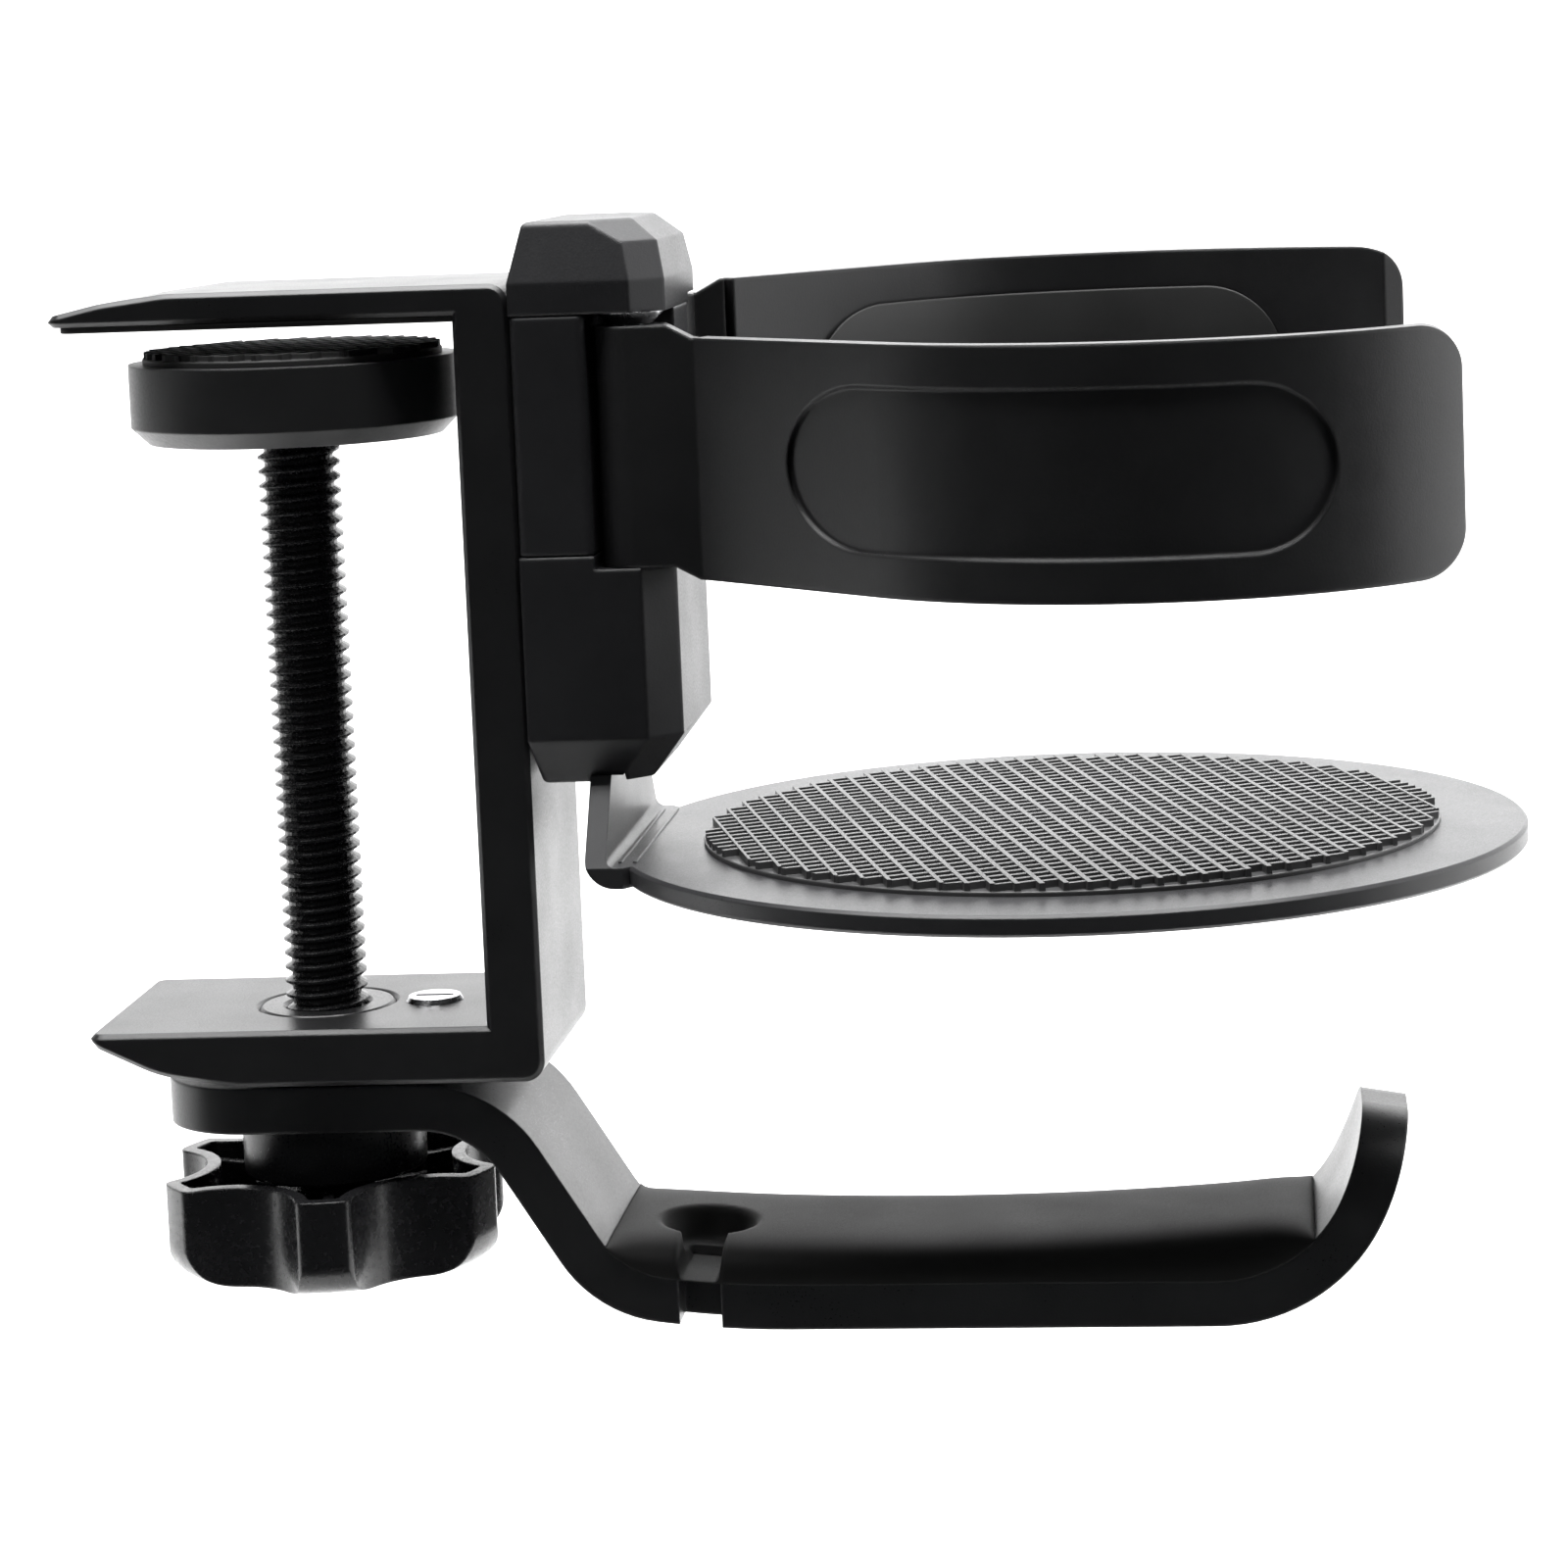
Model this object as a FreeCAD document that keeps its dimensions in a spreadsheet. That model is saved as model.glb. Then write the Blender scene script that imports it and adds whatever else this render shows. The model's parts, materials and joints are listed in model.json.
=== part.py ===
"""Desk clamp cup holder with a headset hook that swivels under the clamp.

Frame of the model: X runs from the desk towards the cup, Y across the clamp, Z up.
The origin lies on the axis of the clamp screw, in the face of the upper jaw pad that sits on the desk.
"""
import FreeCAD, Part
import math
import os
import re
import Sketcher

V = FreeCAD.Vector

# Driving dimensions, in millimetres and degrees. Heights are written as distances below the desk face.
SIZES = {
    # C frame
    "frame_width": 25.6,
    "jaw_reach": 20.6,
    "throat_depth": 18.2,
    "throat_height": 67.5,
    "spine_thick": 5.4,
    "upper_jaw_thick": 2.9,
    "lower_jaw_thick": 5.5,
    "jaw_nose": 1.0,
    "frame_corner": 2.0,
    "frame_edge": 0.45,
    "desk_pad_thick": 0.6,
    "desk_pad_inset": 0.5,
    # clamp screw and its nut
    "screw_radius": 4.0,
    "screw_clearance": 0.08,
    "bush_radius": 6.7,
    "journal_radius": 6.4,
    "spigot_radius": 5.4,
    "bush_edge": 0.35,
    "collar_radius": 9.0,
    "collar_height": 6.0,
    "washer_radius": 7.8,
    "washer_thick": 0.35,
    "running_gap": 0.06,
    # detent plunger
    "plunger_place": 10.7,
    "plunger_radius": 2.5,
    "plunger_head_radius": 2.85,
    "plunger_head_height": 0.5,
    "plunger_slot": 0.7,
    # swivel foot
    "foot_drop": 2.4,
    "foot_pad_thick": 1.2,
    "foot_pad_radius": 14.4,
    "foot_radius": 15.8,
    "foot_height": 7.7,
    "foot_chamfer": 1.6,
    "foot_socket_depth": 5.6,
    "foot_ring_radius": 5.1,
    "foot_ring_thick": 0.8,
    "foot_ring_groove": 0.9,
    # knob
    "knob_radius": 17.4,
    "knob_height": 9.8,
    "knob_drop": 5.3,
    "knob_wall": 1.3,
    "knob_floor": 3.2,
    "knob_flute_radius": 7.4,
    "knob_flute_place": 20.1,
    "knob_turned": 8.0,
    "knob_hub_radius": 6.6,
    "knob_hub_drop": 3.2,
    "knob_round": 4.0,
    "knob_corner": 1.2,
    "knob_rib": 1.0,
    "knob_pin_radius": 1.2,
    # headset hook
    "hook_thick": 4.5,
    "hook_width": 22.8,
    "hook_end_reach": 15.4,
    "hook_end_corner": 9.5,
    "hook_first_bend_place": 10.9,
    "hook_first_bend_radius": 11.2,
    "hook_drop_angle": 58.5,
    "hook_drop_length": 10.5,
    "hook_second_bend_radius": 10.7,
    "hook_floor_slope": 8.2,
    "hook_floor_radius": 96.0,
    "hook_floor_length": 41.0,
    "hook_floor_fall": 0.6,
    "hook_third_bend_radius": 15.4,
    "hook_rise_angle": 62.9,
    "hook_tip_radius": 29.9,
    "hook_tip_turn": 17.3,
    "hook_tip_corner": 9.0,
    "hook_pad_thick": 3.5,
    "hook_pad_width": 23.6,
    "hook_pad_start": 26.4,
    "hook_pad_end": 97.0,
    "hook_pad_end_rise": 1.9,
    "hook_pad_round": 2.4,
    "cable_notch_place": 37.4,
    "cable_notch_width": 4.1,
    "cable_notch_depth": 4.1,
    "cable_pocket_radius": 5.0,
    "cable_pocket_place": 2.4,
    "detent_depth": 1.2,
    "detent_width": 3.2,
    # housing of the arms
    "housing_length": 14.5,
    "housing_width": 26.0,
    "housing_facet": 3.0,
    "cap_top": 9.1,
    "cap_shoulder": 3.4,
    "cap_inset": 1.5,
    "cap_top_chamfer": 2.2,
    "upper_gap": 0.35,
    "lower_lap": 0.3,
    "housing_bottom": 44.4,
    "bottom_shoulder": 4.4,
    "bottom_inset": 2.2,
    "bottom_left_inset": 1.0,
    "bottom_right_inset": 3.4,
    "seam_groove": 0.25,
    "core_half_width": 4.6,
    # arms
    "hinge_place": 34.6,
    "hinge_offset": 9.5,
    "knuckle_radius": 3.5,
    "knuckle_clearance": 0.35,
    "hinge_pin_radius": 1.5,
    "hinge_pin_clearance": 0.05,
    "hinge_pin_seat": 4.2,
    "arm_height": 22.8,
    "arm_top_drop": 0.0,
    "knuckle_shift": 0.9,
    "blade_shift": 2.2,
    "blade_thick": 2.6,
    "blade_start": 41.0,
    "blade_circle_place": 83.0,
    "blade_circle_offset": 6.5,
    "blade_circle_radius": 34.0,
    "blade_end_angle": 31.0,
    "blade_corner": 4.2,
    "grip_left": 50.5,
    "grip_right": 100.5,
    "grip_height": 15.0,
    "grip_recess": 0.4,
    "grip_depth": 1.3,
    "grip_proud": 0.5,
    "spring_washer_radius": 3.3,
    "spring_washer_thick": 0.3,
    "rear_arm_opening": 9.0,
    # tray
    "tray_drop": 51.6,
    "tray_thick": 2.0,
    "tray_radius": 44.2,
    "tray_place": 74.3,
    "tray_bend_radius": 2.9,
    "tab_place": 29.1,
    "tab_height": 21.0,
    "tab_half_width": 11.0,
    "tab_foot_half_width": 17.2,
    "tab_foot_height": 8.0,
    "neck_place": 33.6,
    "neck_half_width": 16.0,
    "neck_dip": 0.9,
    "neck_join_place": 37.0,
    "neck_join_half_width": 23.4,
    "slot_clearance": 0.15,
    "slot_width": 3.3,
    "mat_radius": 35.8,
    "mat_thick": 1.2,
    "tray_edge": 0.3,
    # screws of the housing
    "fixing_radius": 2.0,
    "fixing_head_radius": 3.6,
    "fixing_length": 16.0,
    "fixing_clearance": 0.1,
    "fixing_key": 1.25,
    "cap_screw_radius": 1.3,
    "cap_screw_head_radius": 2.3,
    "cap_screw_head_height": 2.4,
    "cap_screw_place": 27.3,
    "cap_screw_offset": 7.4,
    "cap_screw_grip": 4.0,
}

# How far below the desk face each of the four screws through the spine lies.
FIXING_DROPS = (5.5, 17.5, 33.0, 41.0)

doc = FreeCAD.newDocument("desk_clamp_cup_holder")
sheet = doc.addObject("Spreadsheet::Sheet", "sizes")
for row, (name, number) in enumerate(SIZES.items(), start=1):
    sheet.set(f"A{row}", name)
    sheet.set(f"B{row}", str(number))
    sheet.setAlias(f"B{row}", name)
doc.recompute()

NAMES = re.compile(r"\b(" + "|".join(sorted(SIZES, key=len, reverse=True)) + r")\b")
nodes = []


def linked(formula):
    """The formula with each size's name turned into a link to its cell."""
    return NAMES.sub(r"sizes.\1", formula)


def value(formula):
    """The number that a formula of named sizes gives."""
    return float(sheet.evalExpression(linked(formula)))


def bind(thing, prop, formula):
    """Tie a property to a formula of named sizes."""
    thing.setExpression(prop, linked(formula))


def keep(thing, label):
    """Name a finished sub-part."""
    thing.Label = label
    nodes.append(thing)
    return thing


# ---------------------------------------------------------------- sketches and features in bodies

def new_body(name):
    return doc.addObject("PartDesign::Body", name + "_body")


def new_sketch(body, role, offset=None):
    """A sketch on one of the body's own origin planes, moved along its normal by a formula."""
    plane = next(feature for feature in body.Origin.OriginFeatures if feature.Role == role)
    sketch = body.newObject("Sketcher::SketchObject", body.Name + "_sketch")
    sketch.AttachmentSupport = [(plane, "")]
    sketch.MapMode = "FlatFace"
    if offset:
        bind(sketch, "AttachmentOffset.Base.z", offset)
    return sketch


def place_point(sketch, index, end, across, up):
    """Fix one end of a line, or a circle's centre, at two formulas."""
    for kind, formula in (("DistanceX", across), ("DistanceY", up)):
        number = sketch.addConstraint(Sketcher.Constraint(kind, -1, 1, index, end, value(formula)))
        bind(sketch, f"Constraints[{number}]", formula)


def outline(sketch, points):
    """A closed outline of straight lines through points given as pairs of formulas."""
    corners = [V(value(across), value(up), 0) for across, up in points]
    count = len(corners)
    first = sketch.GeometryCount
    for index in range(count):
        sketch.addGeometry(Part.LineSegment(corners[index], corners[(index + 1) % count]), False)
    for index in range(count):
        following = first + (index + 1) % count
        sketch.addConstraint(Sketcher.Constraint("Coincident", first + index, 2, following, 1))
        place_point(sketch, first + index, 1, *points[index])


def circle(sketch, across, up, radius):
    """A circle whose centre and radius are formulas."""
    centre = V(value(across), value(up), 0)
    index = sketch.addGeometry(Part.Circle(centre, V(0, 0, 1), value(radius)), False)
    place_point(sketch, index, 3, across, up)
    number = sketch.addConstraint(Sketcher.Constraint("Radius", index, value(radius)))
    bind(sketch, f"Constraints[{number}]", radius)


def pad(body, sketch, length, side="One side", reverse=False):
    feature = body.newObject("PartDesign::Pad", body.Name + "_pad")
    feature.Profile = sketch
    feature.SideType = side
    feature.Reversed = reverse
    bind(feature, "Length", length)
    doc.recompute()
    return feature


def pocket(body, sketch, length, reverse=False):
    """Cut along the sketch's normal, downwards unless reversed, and check that something went."""
    before = body.Shape.Volume
    feature = body.newObject("PartDesign::Pocket", body.Name + "_pocket")
    feature.Profile = sketch
    feature.Reversed = reverse
    bind(feature, "Length", length)
    doc.recompute()
    if body.Shape.Volume > before - 0.01:
        raise RuntimeError(body.Name + ": a pocket cut nothing")
    return feature


def dress(body, kind, size_name, amount, chosen):
    """A fillet or a chamfer on the edges of the body that a test picks."""
    base = body.Tip
    names = [f"Edge{n}" for n, edge in enumerate(base.Shape.Edges, start=1) if chosen(edge)]
    feature = body.newObject("PartDesign::" + kind, body.Name + "_" + kind.lower())
    feature.Base = (base, names)
    bind(feature, size_name, amount)
    doc.recompute()
    return feature


def fillet(body, radius, chosen):
    return dress(body, "Fillet", "Radius", radius, chosen)


def chamfer(body, size, chosen):
    return dress(body, "Chamfer", "Size", size, chosen)


def loft(body, lower, upper):
    feature = body.newObject("PartDesign::AdditiveLoft", body.Name + "_loft")
    feature.Profile = lower
    feature.Sections = [upper]
    feature.Ruled = True
    doc.recompute()
    return feature


def near(number, other, slack=0.01):
    return abs(number - other) < slack


def middle(edge):
    return edge.valueAt((edge.FirstParameter + edge.LastParameter) / 2)


def along_y(edge, x, z):
    """True for an edge that runs across the part at a place in the XZ plane."""
    box = edge.BoundBox
    flat = near(box.XMin, box.XMax) and near(box.ZMin, box.ZMax)
    return box.YLength > 1 and flat and near(box.XMin, x) and near(box.ZMin, z)


def upright(edge):
    box = edge.BoundBox
    return box.ZLength > 0.3 and box.XLength < 0.01 and box.YLength < 0.01


# ---------------------------------------------------------------- primitives and booleans

def cylinder(name, radius, height, x="0", y="0", z="0"):
    """An upright cylinder on the point (x, y, z)."""
    thing = doc.addObject("Part::Cylinder", name)
    bind(thing, "Radius", radius)
    bind(thing, "Height", height)
    for axis, formula in zip("xyz", (x, y, z)):
        bind(thing, "Placement.Base." + axis, formula)
    return thing


def cone(name, lower_radius, upper_radius, height, x="0", y="0", z="0"):
    thing = doc.addObject("Part::Cone", name)
    bind(thing, "Radius1", lower_radius)
    bind(thing, "Radius2", upper_radius)
    bind(thing, "Height", height)
    for axis, formula in zip("xyz", (x, y, z)):
        bind(thing, "Placement.Base." + axis, formula)
    return thing


def box(name, length, width, height, x, y, z):
    """A box centred in Y on the formula y, with its lower left corner at x and z."""
    thing = doc.addObject("Part::Box", name)
    bind(thing, "Length", length)
    bind(thing, "Width", width)
    bind(thing, "Height", height)
    bind(thing, "Placement.Base.x", x)
    bind(thing, "Placement.Base.y", f"({y}) - ({width}) / 2")
    bind(thing, "Placement.Base.z", z)
    return thing


def ball(name, radius, x, y, z):
    thing = doc.addObject("Part::Sphere", name)
    bind(thing, "Radius", radius)
    for axis, formula in zip("xyz", (x, y, z)):
        bind(thing, "Placement.Base." + axis, formula)
    return thing


def fuse(name, *things):
    result = doc.addObject("Part::MultiFuse", name)
    result.Shapes = list(things)
    result.Refine = True
    return result


def cut(name, base, tool):
    result = doc.addObject("Part::Cut", name)
    result.Base = base
    result.Tool = tool
    return result


def chamfered(name, base, chosen, amount):
    """A boolean result with the edges that a test picks chamfered."""
    doc.recompute()
    result = doc.addObject("Part::Chamfer", name)
    result.Base = base
    size = value(amount)
    result.Edges = [(n, size, size) for n, edge in enumerate(base.Shape.Edges, start=1) if chosen(edge)]
    return result


def ring_at(z, radius):
    """A test for the round edge of a radius at a height."""
    def chosen(edge):
        round_edge = edge.Curve.TypeId == "Part::GeomCircle"
        return round_edge and near(edge.BoundBox.ZMin, z) and near(edge.Curve.Radius, radius)
    return chosen


def as_feature(label, shape):
    """A sub-part whose shape comes straight from Part's functions."""
    thing = doc.addObject("Part::Feature", label)
    thing.Shape = shape
    thing.Placement = shape.Placement
    return keep(thing, label)


# ---------------------------------------------------------------- shared levels and places

LOWER_JAW_TOP = "-throat_height"
LOWER_JAW_BASE = "-throat_height - lower_jaw_thick"
HOOK_TOP = f"({LOWER_JAW_BASE} - washer_thick - running_gap)"
HOOK_BASE = f"({HOOK_TOP} - hook_thick)"
COLLAR_TOP = f"({HOOK_BASE} - running_gap)"
FOOT_PAD_TOP = "-foot_drop"
FOOT_TOP = "(-foot_drop - foot_pad_thick)"
FOOT_BASE = f"({FOOT_TOP} - foot_height)"
SCREW_TIP = f"({FOOT_BASE} + foot_socket_depth - running_gap)"
KNOB_TOP = f"({HOOK_BASE} - knob_drop)"
KNOB_BASE = f"({KNOB_TOP} - knob_height)"
KNOB_FLOOR = f"({KNOB_BASE} + knob_floor)"
KNOB_HUB_TOP = f"({KNOB_TOP} - knob_hub_drop)"
SPINE_OUTER = "(throat_depth + spine_thick)"
HOUSING_RIGHT = f"({SPINE_OUTER} + housing_length)"
ARM_MIDDLE_DROP = "(arm_top_drop + arm_height / 2)"
UPPER_SEAM = "(upper_gap - arm_top_drop)"
LOWER_SEAM = "(arm_top_drop + arm_height - lower_lap)"
FRONT_KNUCKLE_TOP = "(-arm_top_drop - knuckle_shift)"
REAR_KNUCKLE_BASE = "(knuckle_shift - arm_top_drop - arm_height)"
TRAY_TOP = "-tray_drop"
TRAY_BASE = "(-tray_drop - tray_thick)"


# ---------------------------------------------------------------- C frame

def make_clamp_frame():
    """A C cut from a flat extrusion: thin upper jaw, thick spine and lower jaw, noses that taper."""
    body = new_body("clamp_frame")
    sketch = new_sketch(body, "XZ_Plane")
    top = "desk_pad_thick + upper_jaw_thick"
    outline(sketch, [
        ("-jaw_reach", "desk_pad_thick"),
        ("throat_depth", "desk_pad_thick"),
        ("throat_depth", LOWER_JAW_TOP),
        ("-jaw_reach", LOWER_JAW_TOP),
        ("-jaw_reach", f"{LOWER_JAW_TOP} - jaw_nose"),
        ("-jaw_reach * 0.68", f"{LOWER_JAW_TOP} - lower_jaw_thick * 0.76"),
        ("-jaw_reach * 0.32", LOWER_JAW_BASE),
        (SPINE_OUTER, LOWER_JAW_BASE),
        (SPINE_OUTER, top),
        ("-jaw_reach * 0.44", top),
        ("-jaw_reach * 0.75", "desk_pad_thick + upper_jaw_thick * 0.74"),
        ("-jaw_reach", "desk_pad_thick + jaw_nose"),
    ])
    pad(body, sketch, "frame_width", "Symmetric")
    outer = value(SPINE_OUTER)
    corners = [(outer, value(top)), (outer, value(LOWER_JAW_BASE))]
    fillet(body, "frame_corner", lambda edge: any(along_y(edge, x, z) for x, z in corners))
    blends = [(value("-jaw_reach * 0.44"), value(top)),
              (value("-jaw_reach * 0.75"), value("desk_pad_thick + upper_jaw_thick * 0.74")),
              (value("-jaw_reach * 0.32"), value(LOWER_JAW_BASE)),
              (value("-jaw_reach * 0.68"), value(f"{LOWER_JAW_TOP} - lower_jaw_thick * 0.76"))]
    fillet(body, "frame_corner * 6", lambda edge: any(along_y(edge, x, z) for x, z in blends))
    tip = value("-jaw_reach")
    fillet(body, "frame_corner * 0.7", lambda edge: upright(edge) and near(edge.BoundBox.XMin, tip))
    half = value("frame_width / 2")

    def on_side(edge):
        bounds = edge.BoundBox
        return near(abs(bounds.YMin), half) and bounds.YLength < 0.001
    chamfer(body, "frame_edge", on_side)

    bush_hole = new_sketch(body, "XY_Plane", LOWER_JAW_TOP)
    circle(bush_hole, "0", "0", "bush_radius")
    circle(bush_hole, "plunger_place", "0", "plunger_radius")
    pocket(body, bush_hole, "lower_jaw_thick")
    rims = [ring_at(value(LOWER_JAW_TOP), value("bush_radius"))]
    chamfer(body, "bush_edge", lambda edge: any(test(edge) for test in rims))

    screw_holes = new_sketch(body, "YZ_Plane", "throat_depth")
    for drop in FIXING_DROPS:
        circle(screw_holes, "0", f"-{drop}", "fixing_radius + fixing_clearance")
    pocket(body, screw_holes, "spine_thick", reverse=True)
    inner = value("throat_depth")

    def countersink(edge):
        return edge.Curve.TypeId == "Part::GeomCircle" and near(edge.BoundBox.XMin, inner) \
            and near(edge.BoundBox.XMax, inner)
    chamfer(body, "fixing_head_radius - fixing_radius - fixing_clearance", countersink)
    keep(body, "clamp_frame")


def make_upper_jaw_pad():
    """Thin rubber sheet under the upper jaw."""
    body = new_body("upper_jaw_pad")
    sketch = new_sketch(body, "XY_Plane")
    edge_y = "frame_width / 2 - desk_pad_inset"
    outline(sketch, [
        ("-jaw_reach + desk_pad_inset * 2", f"-({edge_y})"),
        ("throat_depth", f"-({edge_y})"),
        ("throat_depth", edge_y),
        ("-jaw_reach + desk_pad_inset * 2", edge_y),
    ])
    pad(body, sketch, "desk_pad_thick")
    tip = value("-jaw_reach + desk_pad_inset * 2")
    fillet(body, "frame_corner * 0.7", lambda edge: upright(edge) and near(edge.BoundBox.XMin, tip))
    keep(body, "upper_jaw_pad")


def make_clamp_bush():
    """Nut of the clamp screw: seat in the lower jaw, journal for the hook and spigot for the collar."""
    seat = cylinder("bush_seat", "bush_radius", "lower_jaw_thick", z=LOWER_JAW_BASE)
    journal = cylinder("bush_journal", "journal_radius", f"({LOWER_JAW_BASE}) - {COLLAR_TOP}", z=COLLAR_TOP)
    spigot_base = f"{COLLAR_TOP} - collar_height"
    spigot = cylinder("bush_spigot", "spigot_radius", "collar_height", z=spigot_base)
    barrel = fuse("bush_barrel", seat, journal, spigot)
    bore_height = f"({LOWER_JAW_TOP}) - ({spigot_base})"
    bore = cylinder("bush_bore", "screw_radius + screw_clearance", bore_height, z=spigot_base)
    bush = cut("bush_cut", barrel, bore)
    top = value(LOWER_JAW_TOP)
    rims = [ring_at(top, value("bush_radius")), ring_at(top, value("screw_radius + screw_clearance"))]
    softened = chamfered("clamp_bush", bush, lambda edge: any(test(edge) for test in rims), "bush_edge")
    keep(softened, "clamp_bush")


def make_hook_collar():
    """Round nut on the end of the bush that keeps the hook up."""
    base = f"{COLLAR_TOP} - collar_height"
    ring = cylinder("collar_ring", "collar_radius", "collar_height", z=base)
    bore = cylinder("collar_bore", "spigot_radius", "collar_height", z=base)
    collar = cut("collar_cut", ring, bore)
    rim = ring_at(value(base), value("collar_radius"))
    keep(chamfered("hook_collar", collar, rim, "bush_edge"), "hook_collar")


def make_hook_washer():
    """Slip washer between the lower jaw and the hook."""
    base = f"({LOWER_JAW_BASE}) - washer_thick"
    ring = cylinder("washer_ring", "washer_radius", "washer_thick", z=base)
    bore = cylinder("washer_bore", "journal_radius", "washer_thick", z=base)
    keep(cut("hook_washer", ring, bore), "hook_washer")


def make_detent_plunger():
    """Slotted screw through the lower jaw whose round nose just clears the hook, over its dimples."""
    base = f"({HOOK_TOP}) + running_gap"
    stem = cylinder("plunger_stem", "plunger_radius", f"({LOWER_JAW_TOP}) - ({LOWER_JAW_BASE})",
                    x="plunger_place", z=LOWER_JAW_BASE)
    head = cone("plunger_head", "plunger_head_radius", "plunger_head_radius - 0.3", "plunger_head_height",
                x="plunger_place", z=LOWER_JAW_TOP)
    nose_radius = "plunger_radius * 0.6"
    nose = ball("plunger_ball", nose_radius, "plunger_place", "0", f"{base} + {nose_radius}")
    solid = fuse("plunger_solid", stem, head, nose)
    slot = box("plunger_slot_tool", "plunger_head_radius * 1.3", "plunger_slot", "plunger_head_height * 2",
               "plunger_place - plunger_head_radius * 0.65", "0", LOWER_JAW_TOP)
    keep(cut("detent_plunger", solid, slot), "detent_plunger")


# ---------------------------------------------------------------- clamp screw, foot and knob

def make_foot():
    """Swivel foot: a thick disc with a socket for the screw's tip and a groove for the snap ring."""
    disc = cylinder("foot_disc", "foot_radius", "foot_height", z=FOOT_BASE)
    edged = chamfered("foot_edged", disc, ring_at(value(FOOT_BASE), value("foot_radius")), "foot_chamfer")
    socket = cylinder("foot_socket", "screw_radius + screw_clearance", "foot_socket_depth", z=FOOT_BASE)
    groove = cylinder("foot_groove", "foot_ring_radius", "foot_ring_groove",
                      z=f"{FOOT_BASE} + foot_socket_depth / 2 - foot_ring_groove / 2")
    keep(cut("foot_body", edged, fuse("foot_hollow", socket, groove)), "foot_body")

    rubber = cylinder("foot_pad_disc", "foot_pad_radius", "foot_pad_thick", z=FOOT_TOP)
    keep(rubber, "foot_pad")

    ring_base = f"{FOOT_BASE} + foot_socket_depth / 2 - foot_ring_thick / 2"
    ring = cylinder("snap_ring", "foot_ring_radius", "foot_ring_thick", z=ring_base)
    bore = cylinder("snap_bore", "screw_radius - 0.6 + running_gap", "foot_ring_thick", z=ring_base)
    keep(cut("foot_snap_ring", ring, bore), "foot_snap_ring")


def make_clamp_screw():
    """Screw from the foot down into the knob, with a groove for the snap ring and a hole for the pin."""
    body = new_body("clamp_screw")
    bottom = f"{KNOB_BASE} + knob_floor / 2"
    sketch = new_sketch(body, "XZ_Plane")
    groove_low = f"{FOOT_BASE} + foot_socket_depth / 2 - foot_ring_groove / 2"
    groove_high = f"{groove_low} + foot_ring_groove"
    outline(sketch, [
        ("0", bottom),
        ("screw_radius", bottom),
        ("screw_radius", groove_low),
        ("screw_radius - 0.6", groove_low),
        ("screw_radius - 0.6", groove_high),
        ("screw_radius", groove_high),
        ("screw_radius", f"{SCREW_TIP} - 0.5"),
        ("screw_radius - 0.5", SCREW_TIP),
        ("0", SCREW_TIP),
    ])
    turned = body.newObject("PartDesign::Revolution", "screw_revolution")
    turned.Profile = sketch
    turned.ReferenceAxis = (sketch, ["V_Axis"])
    turned.Angle = 360
    doc.recompute()
    hole = new_sketch(body, "YZ_Plane", "-screw_radius")
    circle(hole, "0", f"{KNOB_HUB_TOP} - knob_pin_radius * 2", "knob_pin_radius")
    pocket(body, hole, "screw_radius * 2", reverse=True)
    keep(body, "clamp_screw")


def lobed_outline(inset):
    """Closed wire of the knob's plan: six lobes with hollow flutes between, moved in by an inset."""
    radius = value("knob_radius") - inset
    flute = value("knob_flute_radius") + inset
    place = value("knob_flute_place")
    cosine = (radius ** 2 + place ** 2 - flute ** 2) / (2 * radius * place)
    half = math.acos(cosine)
    edges = []
    for lobe in range(6):
        hollow = math.radians(60 * lobe)
        start = V(radius * math.cos(hollow - half), radius * math.sin(hollow - half), 0)
        bottom = V((place - flute) * math.cos(hollow), (place - flute) * math.sin(hollow), 0)
        end = V(radius * math.cos(hollow + half), radius * math.sin(hollow + half), 0)
        edges.append(Part.Arc(start, bottom, end).toShape())
        crest = hollow + math.pi / 6
        peak = V(radius * math.cos(crest), radius * math.sin(crest), 0)
        turn = hollow + math.pi / 3 - half
        following = V(radius * math.cos(turn), radius * math.sin(turn), 0)
        edges.append(Part.Arc(end, peak, following).toShape())
    return Part.Wire(edges)


def lobed_prism(inset, height, corner):
    """The knob's plan raised to a height, with the lobes' upright corners rounded."""
    solid = Part.Face(lobed_outline(inset)).extrude(V(0, 0, height))
    return solid.makeFillet(corner, [edge for edge in solid.Edges if upright(edge)])


def dome(radius, height, roundness):
    """A disc whose lower rim is rounded, which rounds the lobes' lower ends."""
    disc = Part.makeCylinder(radius, height)
    return disc.makeFillet(roundness, [edge for edge in disc.Edges if near(edge.BoundBox.ZMax, 0)])


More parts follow.
